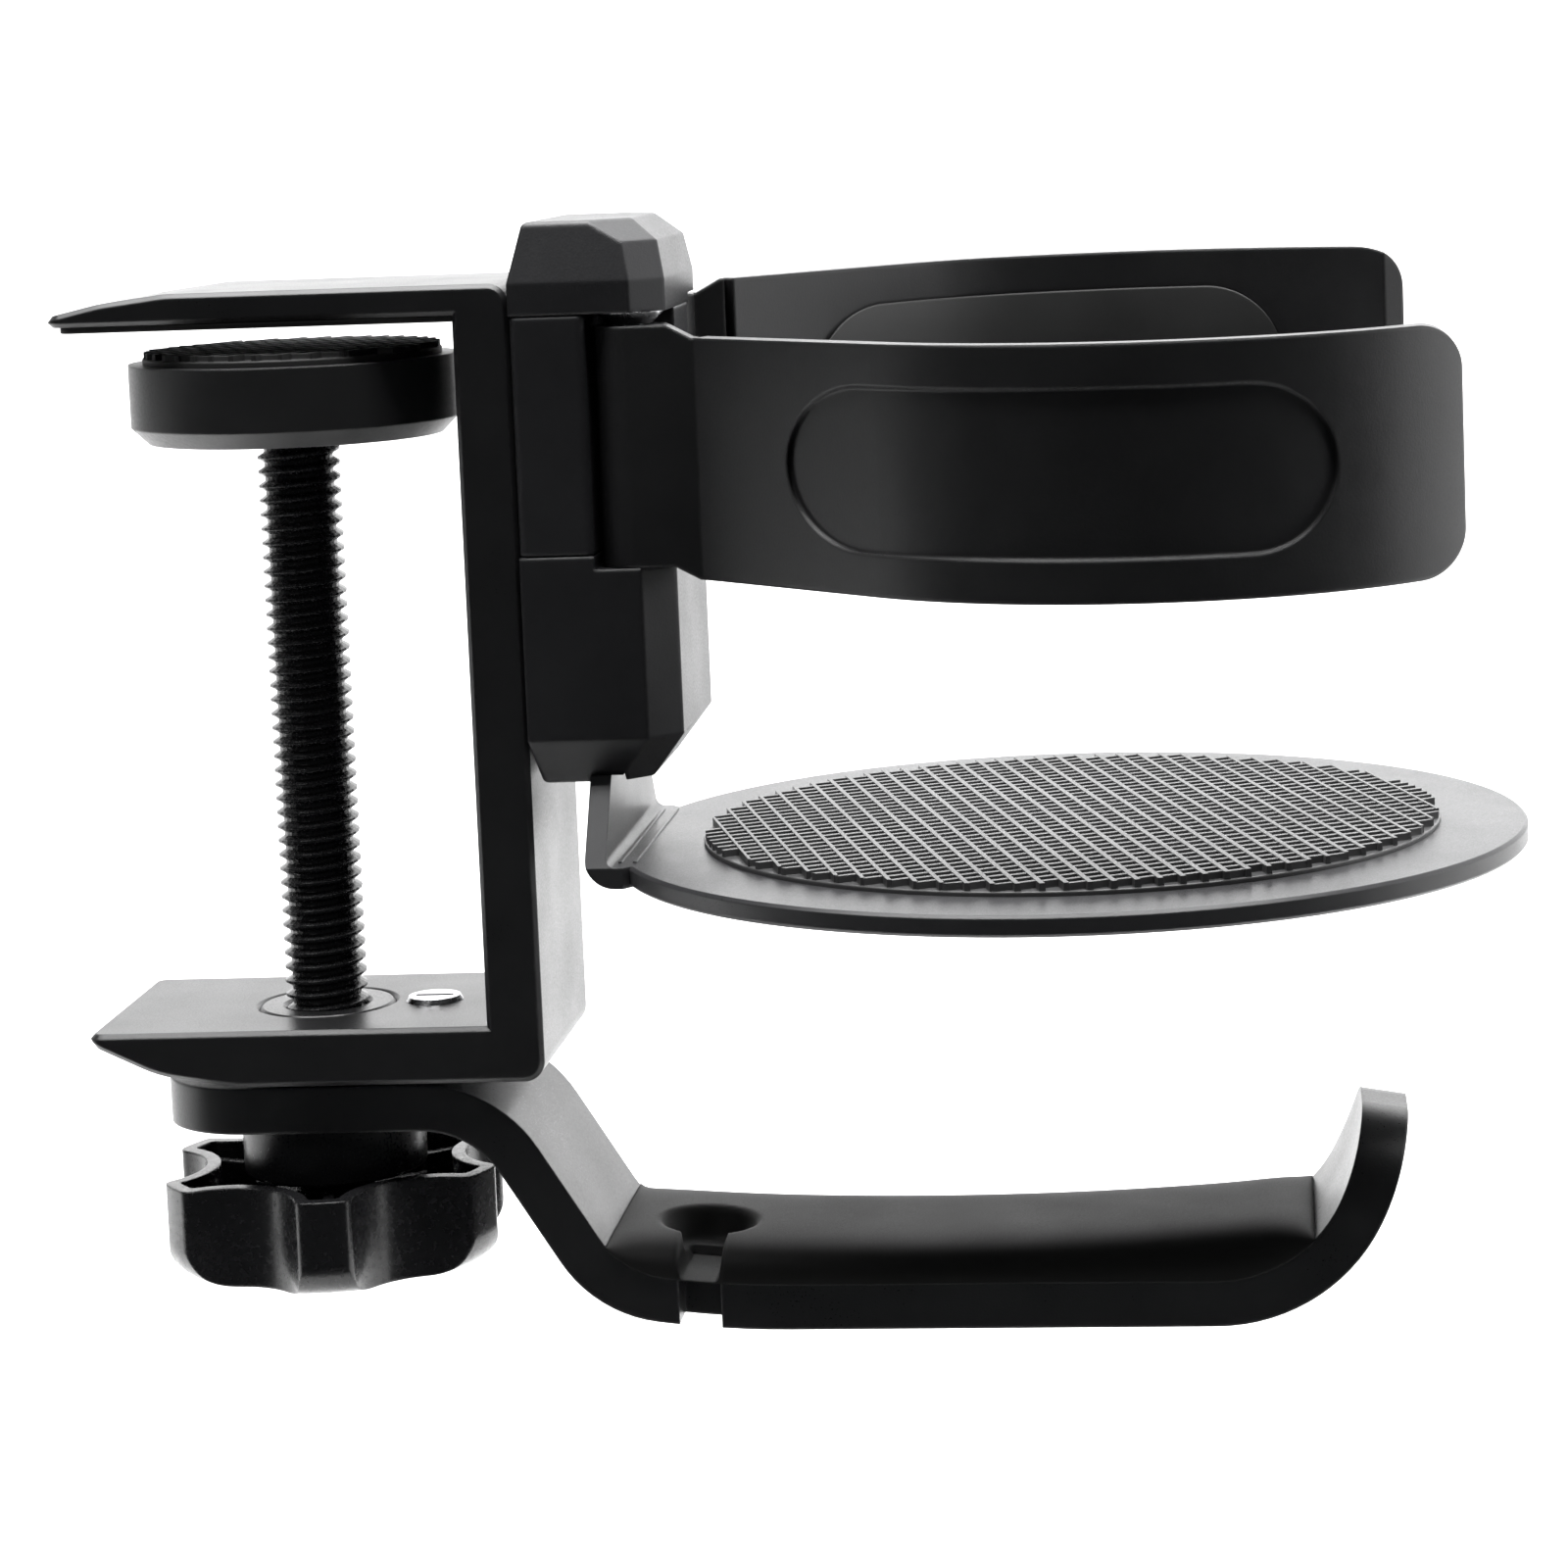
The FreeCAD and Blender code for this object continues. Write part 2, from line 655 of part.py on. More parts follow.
def make_knob():
    """Six-lobed knob: thin wall round an open hollow, hub for the screw and ribs between them."""
    top, base, floor = value(KNOB_TOP), value(KNOB_BASE), value(KNOB_FLOOR)
    height, floor_up = top - base, floor - base
    wall, corner = value("knob_wall"), value("knob_corner")
    outer = lobed_prism(0, height, corner).common(dome(value("knob_radius"), height, value("knob_round")))
    hollow = lobed_prism(wall, height, corner / 2).translated(V(0, 0, floor_up))
    shell = outer.cut(hollow)
    hub_radius = value("knob_hub_radius")
    hub = Part.makeCylinder(hub_radius, value(KNOB_HUB_TOP) - floor, V(0, 0, floor_up))
    thick = value("knob_rib")
    ribs = []
    for turn in range(6):
        rib = Part.makeBox(value("knob_radius"), thick, height - wall - floor_up, V(0, -thick / 2, floor_up))
        rib.rotate(V(0, 0, 0), V(0, 0, 1), 30 + 60 * turn)
        ribs.append(rib)
    well_depth = top - value(KNOB_HUB_TOP)
    well = Part.makeCylinder(value("collar_radius + 0.6"), well_depth + 1, V(0, 0, height - well_depth))
    web = ribs[0].multiFuse(ribs[1:]).common(outer).cut(well)
    solid = shell.multiFuse([hub, web])
    solid = solid.cut(Part.makeCylinder(value("screw_radius"), height, V(0, 0, value("knob_floor / 2"))))
    pin_up = value(f"{KNOB_HUB_TOP} - knob_pin_radius * 2") - base
    drill = Part.makeCylinder(value("knob_pin_radius"), 2 * hub_radius, V(-hub_radius, 0, pin_up), V(1, 0, 0))
    solid = solid.cut(drill).removeSplitter()
    solid.rotate(V(0, 0, 0), V(0, 0, 1), value("knob_turned"))
    return solid.translated(V(0, 0, base))


def make_knob_and_pin():
    solid = make_knob()
    hub_radius = value("knob_hub_radius")
    pin = Part.makeCylinder(value("knob_pin_radius"), 2 * hub_radius, V(-hub_radius, 0, 0), V(1, 0, 0))
    pin.translate(V(0, 0, value(f"{KNOB_HUB_TOP} - knob_pin_radius * 2")))
    pin = pin.common(Part.makeCylinder(hub_radius, 200, V(0, 0, value(KNOB_BASE))))
    as_feature("knob", solid.cut(pin))
    as_feature("knob_pin", pin)


# ---------------------------------------------------------------- headset hook

def strip_path():
    """The hook's middle line as steps: straight runs and bends, with a turn to the left positive."""
    drop = value("hook_drop_angle")
    slope = value("hook_floor_slope")
    fall = value("hook_floor_fall")
    rise = value("hook_rise_angle")
    return [
        ("run", value("hook_end_reach + hook_first_bend_place")),
        ("bend", value("hook_first_bend_radius"), -drop),
        ("run", value("hook_drop_length")),
        ("bend", value("hook_second_bend_radius"), drop - slope),
        ("bend", value("hook_floor_radius"), slope - fall),
        ("run", value("hook_floor_length")),
        ("bend", value("hook_third_bend_radius"), rise + fall),
        ("bend", value("hook_tip_radius"), value("hook_tip_turn")),
    ]


def strip_side(offset):
    """Edges that run beside the hook's middle line at an offset to its left, and its two end points."""
    place = V(value("-hook_end_reach"), 0, value(f"{HOOK_TOP} - hook_thick / 2"))
    heading = 0.0
    edges = []
    left = V(-math.sin(heading), 0, math.cos(heading))
    start = place + left * offset
    last = start
    for step in strip_path():
        if step[0] == "run":
            place = place + V(math.cos(heading), 0, math.sin(heading)) * step[1]
            end = place + V(-math.sin(heading), 0, math.cos(heading)) * offset
            edges.append(Part.LineSegment(last, end).toShape())
        else:
            radius, turn = step[1], math.radians(step[2])
            side = math.copysign(1, turn)
            centre = place + V(-math.sin(heading), 0, math.cos(heading)) * radius * side
            reach = radius - offset * side
            halfway = heading + turn / 2
            through = centre - V(-math.sin(halfway), 0, math.cos(halfway)) * reach * side
            heading += turn
            end = centre - V(-math.sin(heading), 0, math.cos(heading)) * reach * side
            place = centre - V(-math.sin(heading), 0, math.cos(heading)) * radius * side
            edges.append(Part.Arc(last, through, end).toShape())
        last = end
    return edges, start, last


def strip_solid(low, high, width):
    """The bent strip between two offsets from its middle line, as wide as given."""
    upper, upper_start, upper_end = strip_side(high)
    lower, lower_start, lower_end = strip_side(low)
    ends = ((upper_end, lower_end), (lower_start, upper_start))
    closing = [Part.LineSegment(first, last).toShape() for first, last in ends]
    wire = Part.Wire(Part.__sortEdges__(upper + closing + lower))
    solid = Part.Face(wire).extrude(V(0, width, 0))
    return solid.translated(V(0, -width / 2, 0))


def corner_cutters(radius, width, long_axis_z):
    """Two tools that round the corners of a strip's end, at y of plus and minus half the width."""
    tools = []
    reach = 60
    for side in (-1, 1):
        if long_axis_z:
            block = Part.makeBox(radius, radius, reach, V(0, 0, -reach / 2))
            round_part = Part.makeCylinder(radius, reach, V(radius, radius, -reach / 2))
        else:
            block = Part.makeBox(reach, radius, radius, V(-reach / 2, 0, -radius))
            round_part = Part.makeCylinder(radius, reach, V(-reach / 2, radius, -radius), V(1, 0, 0))
        tool = block.cut(round_part).translated(V(0, -width / 2, 0))
        tools.append(tool if side < 0 else tool.mirror(V(0, 0, 0), V(0, 1, 0)))
    return tools


def make_headset_hook():
    """Bent flat bar: round pivot plate, drop, long saddle and a tip that rises."""
    thick, width = value("hook_thick"), value("hook_width")
    solid = strip_solid(-thick / 2, thick / 2, width)
    upper_tip = strip_side(thick / 2)[2]
    lower_tip = strip_side(-thick / 2)[2]
    tip_lean = math.degrees(math.atan2(upper_tip.z - lower_tip.z, lower_tip.x - upper_tip.x))
    for tool in corner_cutters(value("hook_end_corner"), width, True):
        plate_end = V(value("-hook_end_reach"), 0, value(f"{HOOK_TOP} - hook_thick / 2"))
        solid = solid.cut(tool.translated(plate_end))
    for tool in corner_cutters(value("hook_tip_corner"), width, False):
        solid = solid.cut(tool.rotated(V(0, 0, 0), V(0, 1, 0), tip_lean).translated(upper_tip))
    journal = Part.makeCylinder(value("journal_radius + running_gap"), 20, V(0, 0, value(HOOK_TOP) - 15))
    solid = solid.cut(journal)
    dimple = Part.makeCylinder(value("detent_width / 2"), 5)
    for side in (-1, 1):
        place = V(side * value("plunger_place"), 0, value(f"{HOOK_TOP} - detent_depth"))
        solid = solid.cut(dimple.translated(place))
    notch = value("cable_notch_width")
    depth = value("cable_notch_depth")
    slot = Part.makeBox(notch, depth + 5, 60, V(value("cable_notch_place") - notch / 2, -width / 2 - 5, 0))
    solid = solid.cut(slot.translated(V(0, 0, value(HOOK_BASE) - 60)))
    as_feature("headset_hook", solid.removeSplitter())


def make_hook_pad():
    """Soft saddle on the hook: sunk in the middle, raised at both ends, with a pocket for the cable."""
    thick = value("hook_thick")
    width = value("hook_pad_width")
    start, end = value("hook_pad_start"), value("hook_pad_end")
    inner = strip_side(thick / 2)[0]
    floor_edge = inner[5]
    middle_point = floor_edge.valueAt((floor_edge.FirstParameter + floor_edge.LastParameter) / 2)
    crown = middle_point.z + value("hook_pad_thick")
    rise = value("hook_pad_end_rise")
    through = V((start + end) / 2, 0, crown)
    saddle = Part.Arc(V(start, 0, crown + rise), through, V(end, 0, crown + rise)).toShape()
    low = crown - 30
    sides = [Part.LineSegment(V(end, 0, crown + rise), V(end, 0, low)).toShape(),
             Part.LineSegment(V(end, 0, low), V(start, 0, low)).toShape(),
             Part.LineSegment(V(start, 0, low), V(start, 0, crown + rise)).toShape()]
    block = Part.Face(Part.Wire([saddle] + sides)).extrude(V(0, width, 0)).translated(V(0, -width / 2, 0))
    top_edges = [e for e in block.Edges if e.BoundBox.ZMin > crown - 0.01]
    block = block.makeFillet(value("hook_pad_round"), top_edges)
    block = block.cut(strip_solid(-thick * 8, thick / 2, width + 10))
    block = max(block.Solids, key=lambda part: part.Volume)
    notch = value("cable_notch_width")
    place = value("cable_notch_place")
    pocket_y = -value("cable_pocket_place")
    slot = Part.makeBox(notch, width, 40, V(place - notch / 2, pocket_y - width, crown - 30))
    pocket_solid = Part.makeCylinder(value("cable_pocket_radius"), 40, V(place, pocket_y, crown - 30))
    block = block.cut(slot.fuse(pocket_solid))
    as_feature("hook_pad", max(block.Solids, key=lambda part: part.Volume))


# ---------------------------------------------------------------- housing

def housing_plan(sketch, inset="0", left_inset="0", right_inset=None):
    """Plan of the housing: a rectangle against the spine with the two far corners cut off."""
    right_inset = right_inset or inset
    half = f"(housing_width / 2 - {inset})"
    left = f"({SPINE_OUTER} + {left_inset})"
    right = f"({HOUSING_RIGHT} - {right_inset})"
    outline(sketch, [
        (left, f"-{half}"),
        (f"{right} - housing_facet", f"-{half}"),
        (right, f"-{half} + housing_facet"),
        (right, f"{half} - housing_facet"),
        (f"{right} - housing_facet", half),
        (left, half),
    ])


def knuckle_pockets(body, level, depth, reverse, sides):
    """Corner pockets in a cap that give the arms' knuckles room to turn."""
    sketch = new_sketch(body, "XY_Plane", level)
    left = "hinge_place - knuckle_radius - knuckle_clearance"
    inner = "hinge_offset - knuckle_radius - knuckle_clearance"
    for side in sides:
        outline(sketch, [
            (left, f"{side} * ({inner})"),
            (f"{HOUSING_RIGHT} + 1", f"{side} * ({inner})"),
            (f"{HOUSING_RIGHT} + 1", f"{side} * (housing_width / 2 + 1)"),
            (left, f"{side} * (housing_width / 2 + 1)"),
        ])
    pocket(body, sketch, depth, reverse=reverse)


def pin_holes(body, level, reverse):
    """Blind seats for the two hinge pins."""
    sketch = new_sketch(body, "XY_Plane", level)
    for side in (-1, 1):
        circle(sketch, "hinge_place", f"{side} * hinge_offset", "hinge_pin_radius")
    pocket(body, sketch, "hinge_pin_seat + 2", reverse=reverse)


def level_at(edge, height):
    """Whether an edge lies flat at a height."""
    return near(edge.BoundBox.ZMin, height) and near(edge.BoundBox.ZMax, height)


def make_upper_cap():
    """Top piece of the housing, with sides that lean in above the shoulder."""
    body = new_body("housing_upper_cap")
    base = new_sketch(body, "XY_Plane", UPPER_SEAM)
    housing_plan(base)
    pad(body, base, f"cap_shoulder - {UPPER_SEAM}")
    lower = new_sketch(body, "XY_Plane", "cap_shoulder")
    housing_plan(lower)
    upper = new_sketch(body, "XY_Plane", "cap_top")
    housing_plan(upper, "cap_inset", "cap_inset", "cap_inset * 0.7")
    loft(body, lower, upper)
    top = value("cap_top")
    right = value(f"{HOUSING_RIGHT} - cap_inset * 0.7")

    def right_top(edge):
        bounds = edge.BoundBox
        return near(bounds.ZMin, top) and near(bounds.ZMax, top) and bounds.XMax > right - 0.01
    chamfer(body, "cap_top_chamfer", right_top)
    fillet(body, "seam_groove * 3", lambda edge: level_at(edge, top))
    depth = f"knuckle_shift - arm_top_drop - {UPPER_SEAM} + knuckle_clearance"
    knuckle_pockets(body, UPPER_SEAM, depth, True, (1,))
    pin_holes(body, UPPER_SEAM, True)
    screws = new_sketch(body, "XY_Plane", UPPER_SEAM)
    for side in (-1, 1):
        circle(screws, "cap_screw_place", f"{side} * cap_screw_offset", "cap_screw_radius")
    pocket(body, screws, "cap_screw_grip", reverse=True)
    keep(body, "housing_upper_cap")


def make_middle_block():
    """Middle piece of the housing: a block on the spine and a core that stands between the knuckles."""
    body = new_body("housing_middle_block")
    sketch = new_sketch(body, "XY_Plane", f"-{LOWER_SEAM}")
    left = "hinge_place - knuckle_radius - knuckle_clearance"
    outline(sketch, [
        (SPINE_OUTER, "-housing_width / 2"),
        (left, "-housing_width / 2"),
        (left, "-core_half_width"),
        (HOUSING_RIGHT, "-core_half_width"),
        (HOUSING_RIGHT, "core_half_width"),
        (left, "core_half_width"),
        (left, "housing_width / 2"),
        (SPINE_OUTER, "housing_width / 2"),
    ])
    pad(body, sketch, f"{UPPER_SEAM} + {LOWER_SEAM}")
    half = value("housing_width / 2")
    fillet(body, "seam_groove * 3", lambda edge: upright(edge) and near(abs(edge.BoundBox.YMin), half))
    levels = (value(UPPER_SEAM), value(f"-{LOWER_SEAM}"))

    def seam_edge(edge):
        bounds = edge.BoundBox
        flat = bounds.ZLength < 0.001 and any(near(bounds.ZMin, level) for level in levels)
        return flat and (near(abs(bounds.YMin), half, 0.8) and near(abs(bounds.YMax), half, 0.8))
    chamfer(body, "seam_groove", seam_edge)
    holes = new_sketch(body, "XY_Plane", UPPER_SEAM)
    for side in (-1, 1):
        circle(holes, "cap_screw_place", f"{side} * cap_screw_offset", "cap_screw_radius + fixing_clearance")
    pocket(body, holes, f"{UPPER_SEAM} + {LOWER_SEAM}")
    heads = new_sketch(body, "XY_Plane", f"-{LOWER_SEAM}")
    for side in (-1, 1):
        head_seat = "cap_screw_head_radius + fixing_clearance"
        circle(heads, "cap_screw_place", f"{side} * cap_screw_offset", head_seat)
    pocket(body, heads, "cap_screw_head_height", reverse=True)
    fixing_seats(body, FIXING_DROPS[:2])
    keep(body, "housing_middle_block")


def fixing_seats(body, drops):
    """Holes that take the screws which come through the spine."""
    sketch = new_sketch(body, "YZ_Plane", SPINE_OUTER)
    for drop in drops:
        circle(sketch, "0", f"-{drop}", "fixing_radius")
    pocket(body, sketch, "fixing_length - spine_thick", reverse=True)


def make_lower_cap():
    """Bottom piece of the housing: chamfered below, with the slot that holds the tray's tab."""
    body = new_body("housing_lower_cap")
    shoulder = "-housing_bottom + bottom_shoulder"
    block = new_sketch(body, "XY_Plane", shoulder)
    housing_plan(block)
    pad(body, block, f"housing_bottom - bottom_shoulder - {LOWER_SEAM}")
    upper = new_sketch(body, "XY_Plane", shoulder)
    housing_plan(upper)
    lower = new_sketch(body, "XY_Plane", "-housing_bottom")
    housing_plan(lower, "bottom_inset", "bottom_left_inset", "bottom_right_inset")
    loft(body, upper, lower)
    bottom = value("-housing_bottom")
    fillet(body, "seam_groove * 3", lambda edge: level_at(edge, bottom))
    slot = new_sketch(body, "XY_Plane", "-housing_bottom")
    slot_left = "tab_place"
    slot_half = "tab_half_width + slot_clearance"
    outline(slot, [
        (slot_left, f"-({slot_half})"),
        (f"{slot_left} + slot_width", f"-({slot_half})"),
        (f"{slot_left} + slot_width", slot_half),
        (slot_left, slot_half),
    ])
    pocket(body, slot, "housing_bottom - (tray_drop - tab_height) + slot_clearance", reverse=True)
    depth = f"knuckle_shift + arm_top_drop + arm_height - {LOWER_SEAM} + running_gap"
    knuckle_pockets(body, f"-{LOWER_SEAM}", depth, False, (-1,))
    pin_holes(body, f"-{LOWER_SEAM}", False)
    fixing_seats(body, FIXING_DROPS[2:])
    keep(body, "housing_lower_cap")


def make_fixing_screws():
    """Four countersunk screws through the spine into the housing, as one group of separate solids."""
    screws = []
    key_depth = "fixing_head_radius * 0.5"
    for number, drop in enumerate(FIXING_DROPS, start=1):
        head_height = "fixing_head_radius - fixing_radius"
        head = cone(f"fixing_head_{number}", "fixing_head_radius", "fixing_radius", head_height)
        shank = cylinder(f"fixing_shank_{number}", "fixing_radius", "fixing_length")
        key = doc.addObject("Part::Prism", f"fixing_key_{number}")
        key.Polygon = 6
        bind(key, "Circumradius", "fixing_key")
        bind(key, "Height", key_depth)
        screw = cut(f"fixing_screw_{number}", fuse(f"fixing_solid_{number}", head, shank), key)
        screw.Placement.Rotation = FreeCAD.Rotation(V(0, 1, 0), 90)
        bind(screw, "Placement.Base.x", "throat_depth")
        screw.Placement.Base.z = -drop
        screws.append(screw)
    group = doc.addObject("Part::Compound", "fixing_screw_group")
    group.Links = screws
    keep(group, "fixing_screws")


def make_cap_screws():
    """Two hidden screws that pull the upper cap down on the middle block."""
    screws = []
    for number, side in enumerate((-1, 1), start=1):
        place = {"x": "cap_screw_place", "y": f"{side} * cap_screw_offset"}
        head = cylinder(f"cap_head_{number}", "cap_screw_head_radius", "cap_screw_head_height", z=f"-{LOWER_SEAM}", **place)
        length = f"{LOWER_SEAM} + {UPPER_SEAM} + cap_screw_grip"
        shank = cylinder(f"cap_shank_{number}", "cap_screw_radius", length, z=f"-{LOWER_SEAM}", **place)
        screws.append(fuse(f"cap_screw_{number}", head, shank))
    group = doc.addObject("Part::Compound", "cap_screw_group")
    group.Links = screws
    keep(group, "cap_screws")


# ---------------------------------------------------------------- arms

def arm_levels(side):
    """Lowest levels of the knuckle and the blade. The rear arm is the front arm turned over."""
    middle_level = value(f"-{ARM_MIDDLE_DROP}")
    half = value("arm_height / 2")
    knuckle = middle_level + side * value("knuckle_shift") - half
    blade = middle_level + side * value("blade_shift") - half
    return knuckle, blade


def blade_line(depth):
    """Plan curve of the front arm's blade at a depth inside its outer face: slanting run, then an arc."""
    centre = V(value("blade_circle_place"), value("-blade_circle_offset"), 0)
    radius = value("blade_circle_radius")
    corner = V(value("blade_start"), value("-housing_width / 2"), 0)
    away = centre - corner
    lean = math.atan2(away.y, away.x) - math.asin(radius / away.Length)
    reach = math.sqrt(away.Length ** 2 - radius ** 2)
    run = V(math.cos(lean), math.sin(lean), 0)
    inward = V(-run.y, run.x, 0)
    # The inner faces of the root and of the slanting run meet on the bisector of the corner.
    bisect = depth * math.tan(-lean / 2)
    start = V(corner.x + bisect, corner.y + depth, 0)
    touch = corner + run * reach + inward * depth
    end_angle = math.radians(-value("blade_end_angle"))
    touch_angle = lean - math.pi / 2
    through_angle = (touch_angle + end_angle) / 2
    inside = radius - depth
    through = centre + V(math.cos(through_angle), math.sin(through_angle), 0) * inside
    end = centre + V(math.cos(end_angle), math.sin(end_angle), 0) * inside
    return start, touch, through, end


def blade_band(outer_depth, inner_depth, height):
    """Solid between two depths inside the blade's outer face."""
    a, b, c, d = blade_line(outer_depth)
    e, f, g, h = blade_line(inner_depth)
    edges = [Part.LineSegment(a, b).toShape(), Part.Arc(b, c, d).toShape(), Part.LineSegment(d, h).toShape(),
             Part.Arc(h, g, f).toShape(), Part.LineSegment(f, e).toShape(), Part.LineSegment(e, a).toShape()]
    return Part.Face(Part.Wire(edges)).extrude(V(0, 0, height))


def stadium(height, level):
    """Prism along Y with a stadium outline, which bounds the grip."""
    left, right = value("grip_left"), value("grip_right")
    radius = height / 2
    core = Part.makeBox(right - left - height, 80, height, V(left + radius, -80, level - radius))
    centres = (left + radius, right - radius)
    ends = [Part.makeCylinder(radius, 80, V(x, -80, level), V(0, 1, 0)) for x in centres]
    return core.multiFuse(ends)


def make_arm(label, side):
    """One spring arm and its grip. It is drawn at the front and turned over about X for the rear."""
    knuckle_low, blade_low = arm_levels(-1)
    height = value("arm_height")
    thick = value("blade_thick")
    hinge = V(value("hinge_place"), value("-hinge_offset"), 0)
    front = value("-housing_width / 2")
    start = blade_line(0)[0]

    def section(x, low):
        corners = [V(x, front, low), V(x, front + thick, low), V(x, front + thick, low + height),
                   V(x, front, low + height), V(x, front, low)]
        return Part.makePolygon(corners)
    blade = blade_band(0, thick, height)
    corner = value("blade_corner")
    tip_x = blade.BoundBox.XMax
    for lower in (True, False):
        block = Part.makeBox(corner + 1, 60, corner, V(tip_x - corner, -60, 0 if lower else height - corner))
        round_z = corner if lower else height - corner
        rounding = Part.makeCylinder(corner, 60, V(tip_x - corner, -60, round_z), V(0, 1, 0))
        blade = blade.cut(block.cut(rounding))
    blade.translate(V(0, 0, blade_low))
    root_right, heel_left = start.x - 2.6, start.x - 0.2
    root = Part.makeBox(root_right - hinge.x, thick, height, V(hinge.x, front, knuckle_low))
    step = Part.makeLoft([section(root_right, knuckle_low), section(heel_left, blade_low)], True, True)
    heel = Part.makeBox(start.x - heel_left + 0.2, thick, height, V(heel_left, front, blade_low))
    barrel = Part.makeCylinder(value("knuckle_radius"), height, V(hinge.x, hinge.y, knuckle_low))
    heel = Part.makeBox(0.2 + 0.2, thick, height, V(start.x - 0.2, front, blade_low))
    solid = barrel.multiFuse([root, step, heel, blade])
    pin_hole = value("hinge_pin_radius + hinge_pin_clearance")
    solid = solid.cut(Part.makeCylinder(pin_hole, height, V(hinge.x, hinge.y, knuckle_low)))
    level = blade_low + height / 2
    frame_of_grip = stadium(value("grip_height"), level)
    deep = blade_band(0, value("grip_recess"), 2 * height).translated(V(0, 0, blade_low - height / 2))
    solid = solid.cut(deep.common(frame_of_grip))
    seat_band = blade_band(thick - value("grip_depth"), thick + value("grip_proud"), 2 * height)
    grip = seat_band.translated(V(0, 0, blade_low - height / 2)).common(frame_of_grip)
    solid = solid.cut(grip).removeSplitter()
    if side > 0:
        for shape in (solid, grip):
            shape.rotate(V(0, 0, value(f"-{ARM_MIDDLE_DROP}")), V(1, 0, 0), 180)
            shape.rotate(V(hinge.x, -hinge.y, 0), V(0, 0, 1), value("rear_arm_opening"))
    as_feature(label, max(solid.Solids, key=lambda part: part.Volume))
    as_feature(label + "_grip", max(grip.Solids, key=lambda part: part.Volume))


def make_hinge(label, side):
    """Hinge pin of one arm and the dished spring washer that presses on the end of its knuckle."""
    seat = "hinge_pin_seat"
    place = {"x": "hinge_place", "y": f"{side} * hinge_offset"}
    pin = cylinder(label + "_pin_rod", "hinge_pin_radius", f"{LOWER_SEAM} + {UPPER_SEAM} + 2 * {seat}",
                   z=f"-{LOWER_SEAM} - {seat}", **place)
    keep(pin, label + "_hinge_pin")
    sheet_thick = "spring_washer_thick"
    wide, narrow = "spring_washer_radius", "(hinge_pin_radius + spring_washer_thick * 2)"
    if side < 0:
        base = f"({FRONT_KNUCKLE_TOP} + running_gap)"
        gap = f"{UPPER_SEAM} - {base}"
        radii = (narrow, wide)
        bore_radii = (f"{narrow} - {sheet_thick}", f"{wide} - {sheet_thick}")
    else:
        base = f"-{LOWER_SEAM}"
        gap = f"{REAR_KNUCKLE_BASE} - running_gap + {LOWER_SEAM}"
        radii = (wide, narrow)
        bore_radii = (f"{wide} - {sheet_thick}", f"{narrow} - {sheet_thick}")
    outside = cone(label + "_washer_outside", *radii, gap, z=base, **place)
    inside = cone(label + "_washer_inside", *bore_radii, gap, z=base, **place)
    keep(cut(label + "_spring_washer", outside, inside), label + "_spring_washer")


# ---------------------------------------------------------------- tray

def make_tray_plate():
    """Bent sheet: round tray, short neck and a tab that rises into the housing's slot."""
    body = new_body("tray_plate")
    disc = new_sketch(body, "XY_Plane", TRAY_BASE)
    circle(disc, "tray_place", "0", "tray_radius")
    pad(body, disc, "tray_thick")
    neck = new_sketch(body, "XY_Plane", TRAY_BASE)
    outline(neck, [
        ("tab_place", "-tab_foot_half_width"),
        ("neck_place - neck_dip", "-tab_foot_half_width"),
        ("neck_place", "-neck_half_width"),
        ("neck_join_place", "-neck_join_half_width"),
        ("tray_place", "-neck_join_half_width"),
        ("tray_place", "neck_join_half_width"),
        ("neck_join_place", "neck_join_half_width"),
        ("neck_place", "neck_half_width"),
        ("neck_place - neck_dip", "tab_foot_half_width"),
        ("tab_place", "tab_foot_half_width"),
    ])
    pad(body, neck, "tray_thick")
    tab = new_sketch(body, "YZ_Plane", "tab_place")
    foot_top = f"{TRAY_TOP} + tab_foot_height"
    outline(tab, [
        ("-tab_foot_half_width", TRAY_BASE),
        ("tab_foot_half_width", TRAY_BASE),
        ("tab_foot_half_width", TRAY_TOP),
        ("tab_half_width", foot_top),
        ("tab_half_width", f"{TRAY_TOP} + tab_height"),
        ("-tab_half_width", f"{TRAY_TOP} + tab_height"),
        ("-tab_half_width", foot_top),
        ("-tab_foot_half_width", TRAY_TOP),
    ])
    pad(body, tab, "tray_thick")
    left, base = value("tab_place"), value(TRAY_BASE)
    fillet(body, "tray_bend_radius", lambda edge: along_y(edge, left, base))
    inner_x, top = value("tab_place + tray_thick"), value(TRAY_TOP)
    fillet(body, "tray_bend_radius - tray_thick", lambda edge: along_y(edge, inner_x, top))
    holes = new_sketch(body, "YZ_Plane", "tab_place")
    for drop in FIXING_DROPS[2:]:
        circle(holes, "0", f"-{drop}", "fixing_radius + fixing_clearance")
    pocket(body, holes, "tray_thick", reverse=True)
    radius = value("tray_radius")
    levels = (value(TRAY_TOP), value(TRAY_BASE))

    def rim(edge):
        return edge.Curve.TypeId == "Part::GeomCircle" and near(edge.Curve.Radius, radius) \
            and any(near(edge.BoundBox.ZMin, z) for z in levels)
    chamfer(body, "tray_edge", rim)
    keep(body, "tray_plate")


def make_tray_mat():
    """Round rubber mat that the cup stands on."""
    keep(cylinder("tray_mat_disc", "mat_radius", "mat_thick", x="tray_place", z=TRAY_TOP), "tray_mat")


# ---------------------------------------------------------------- whole object

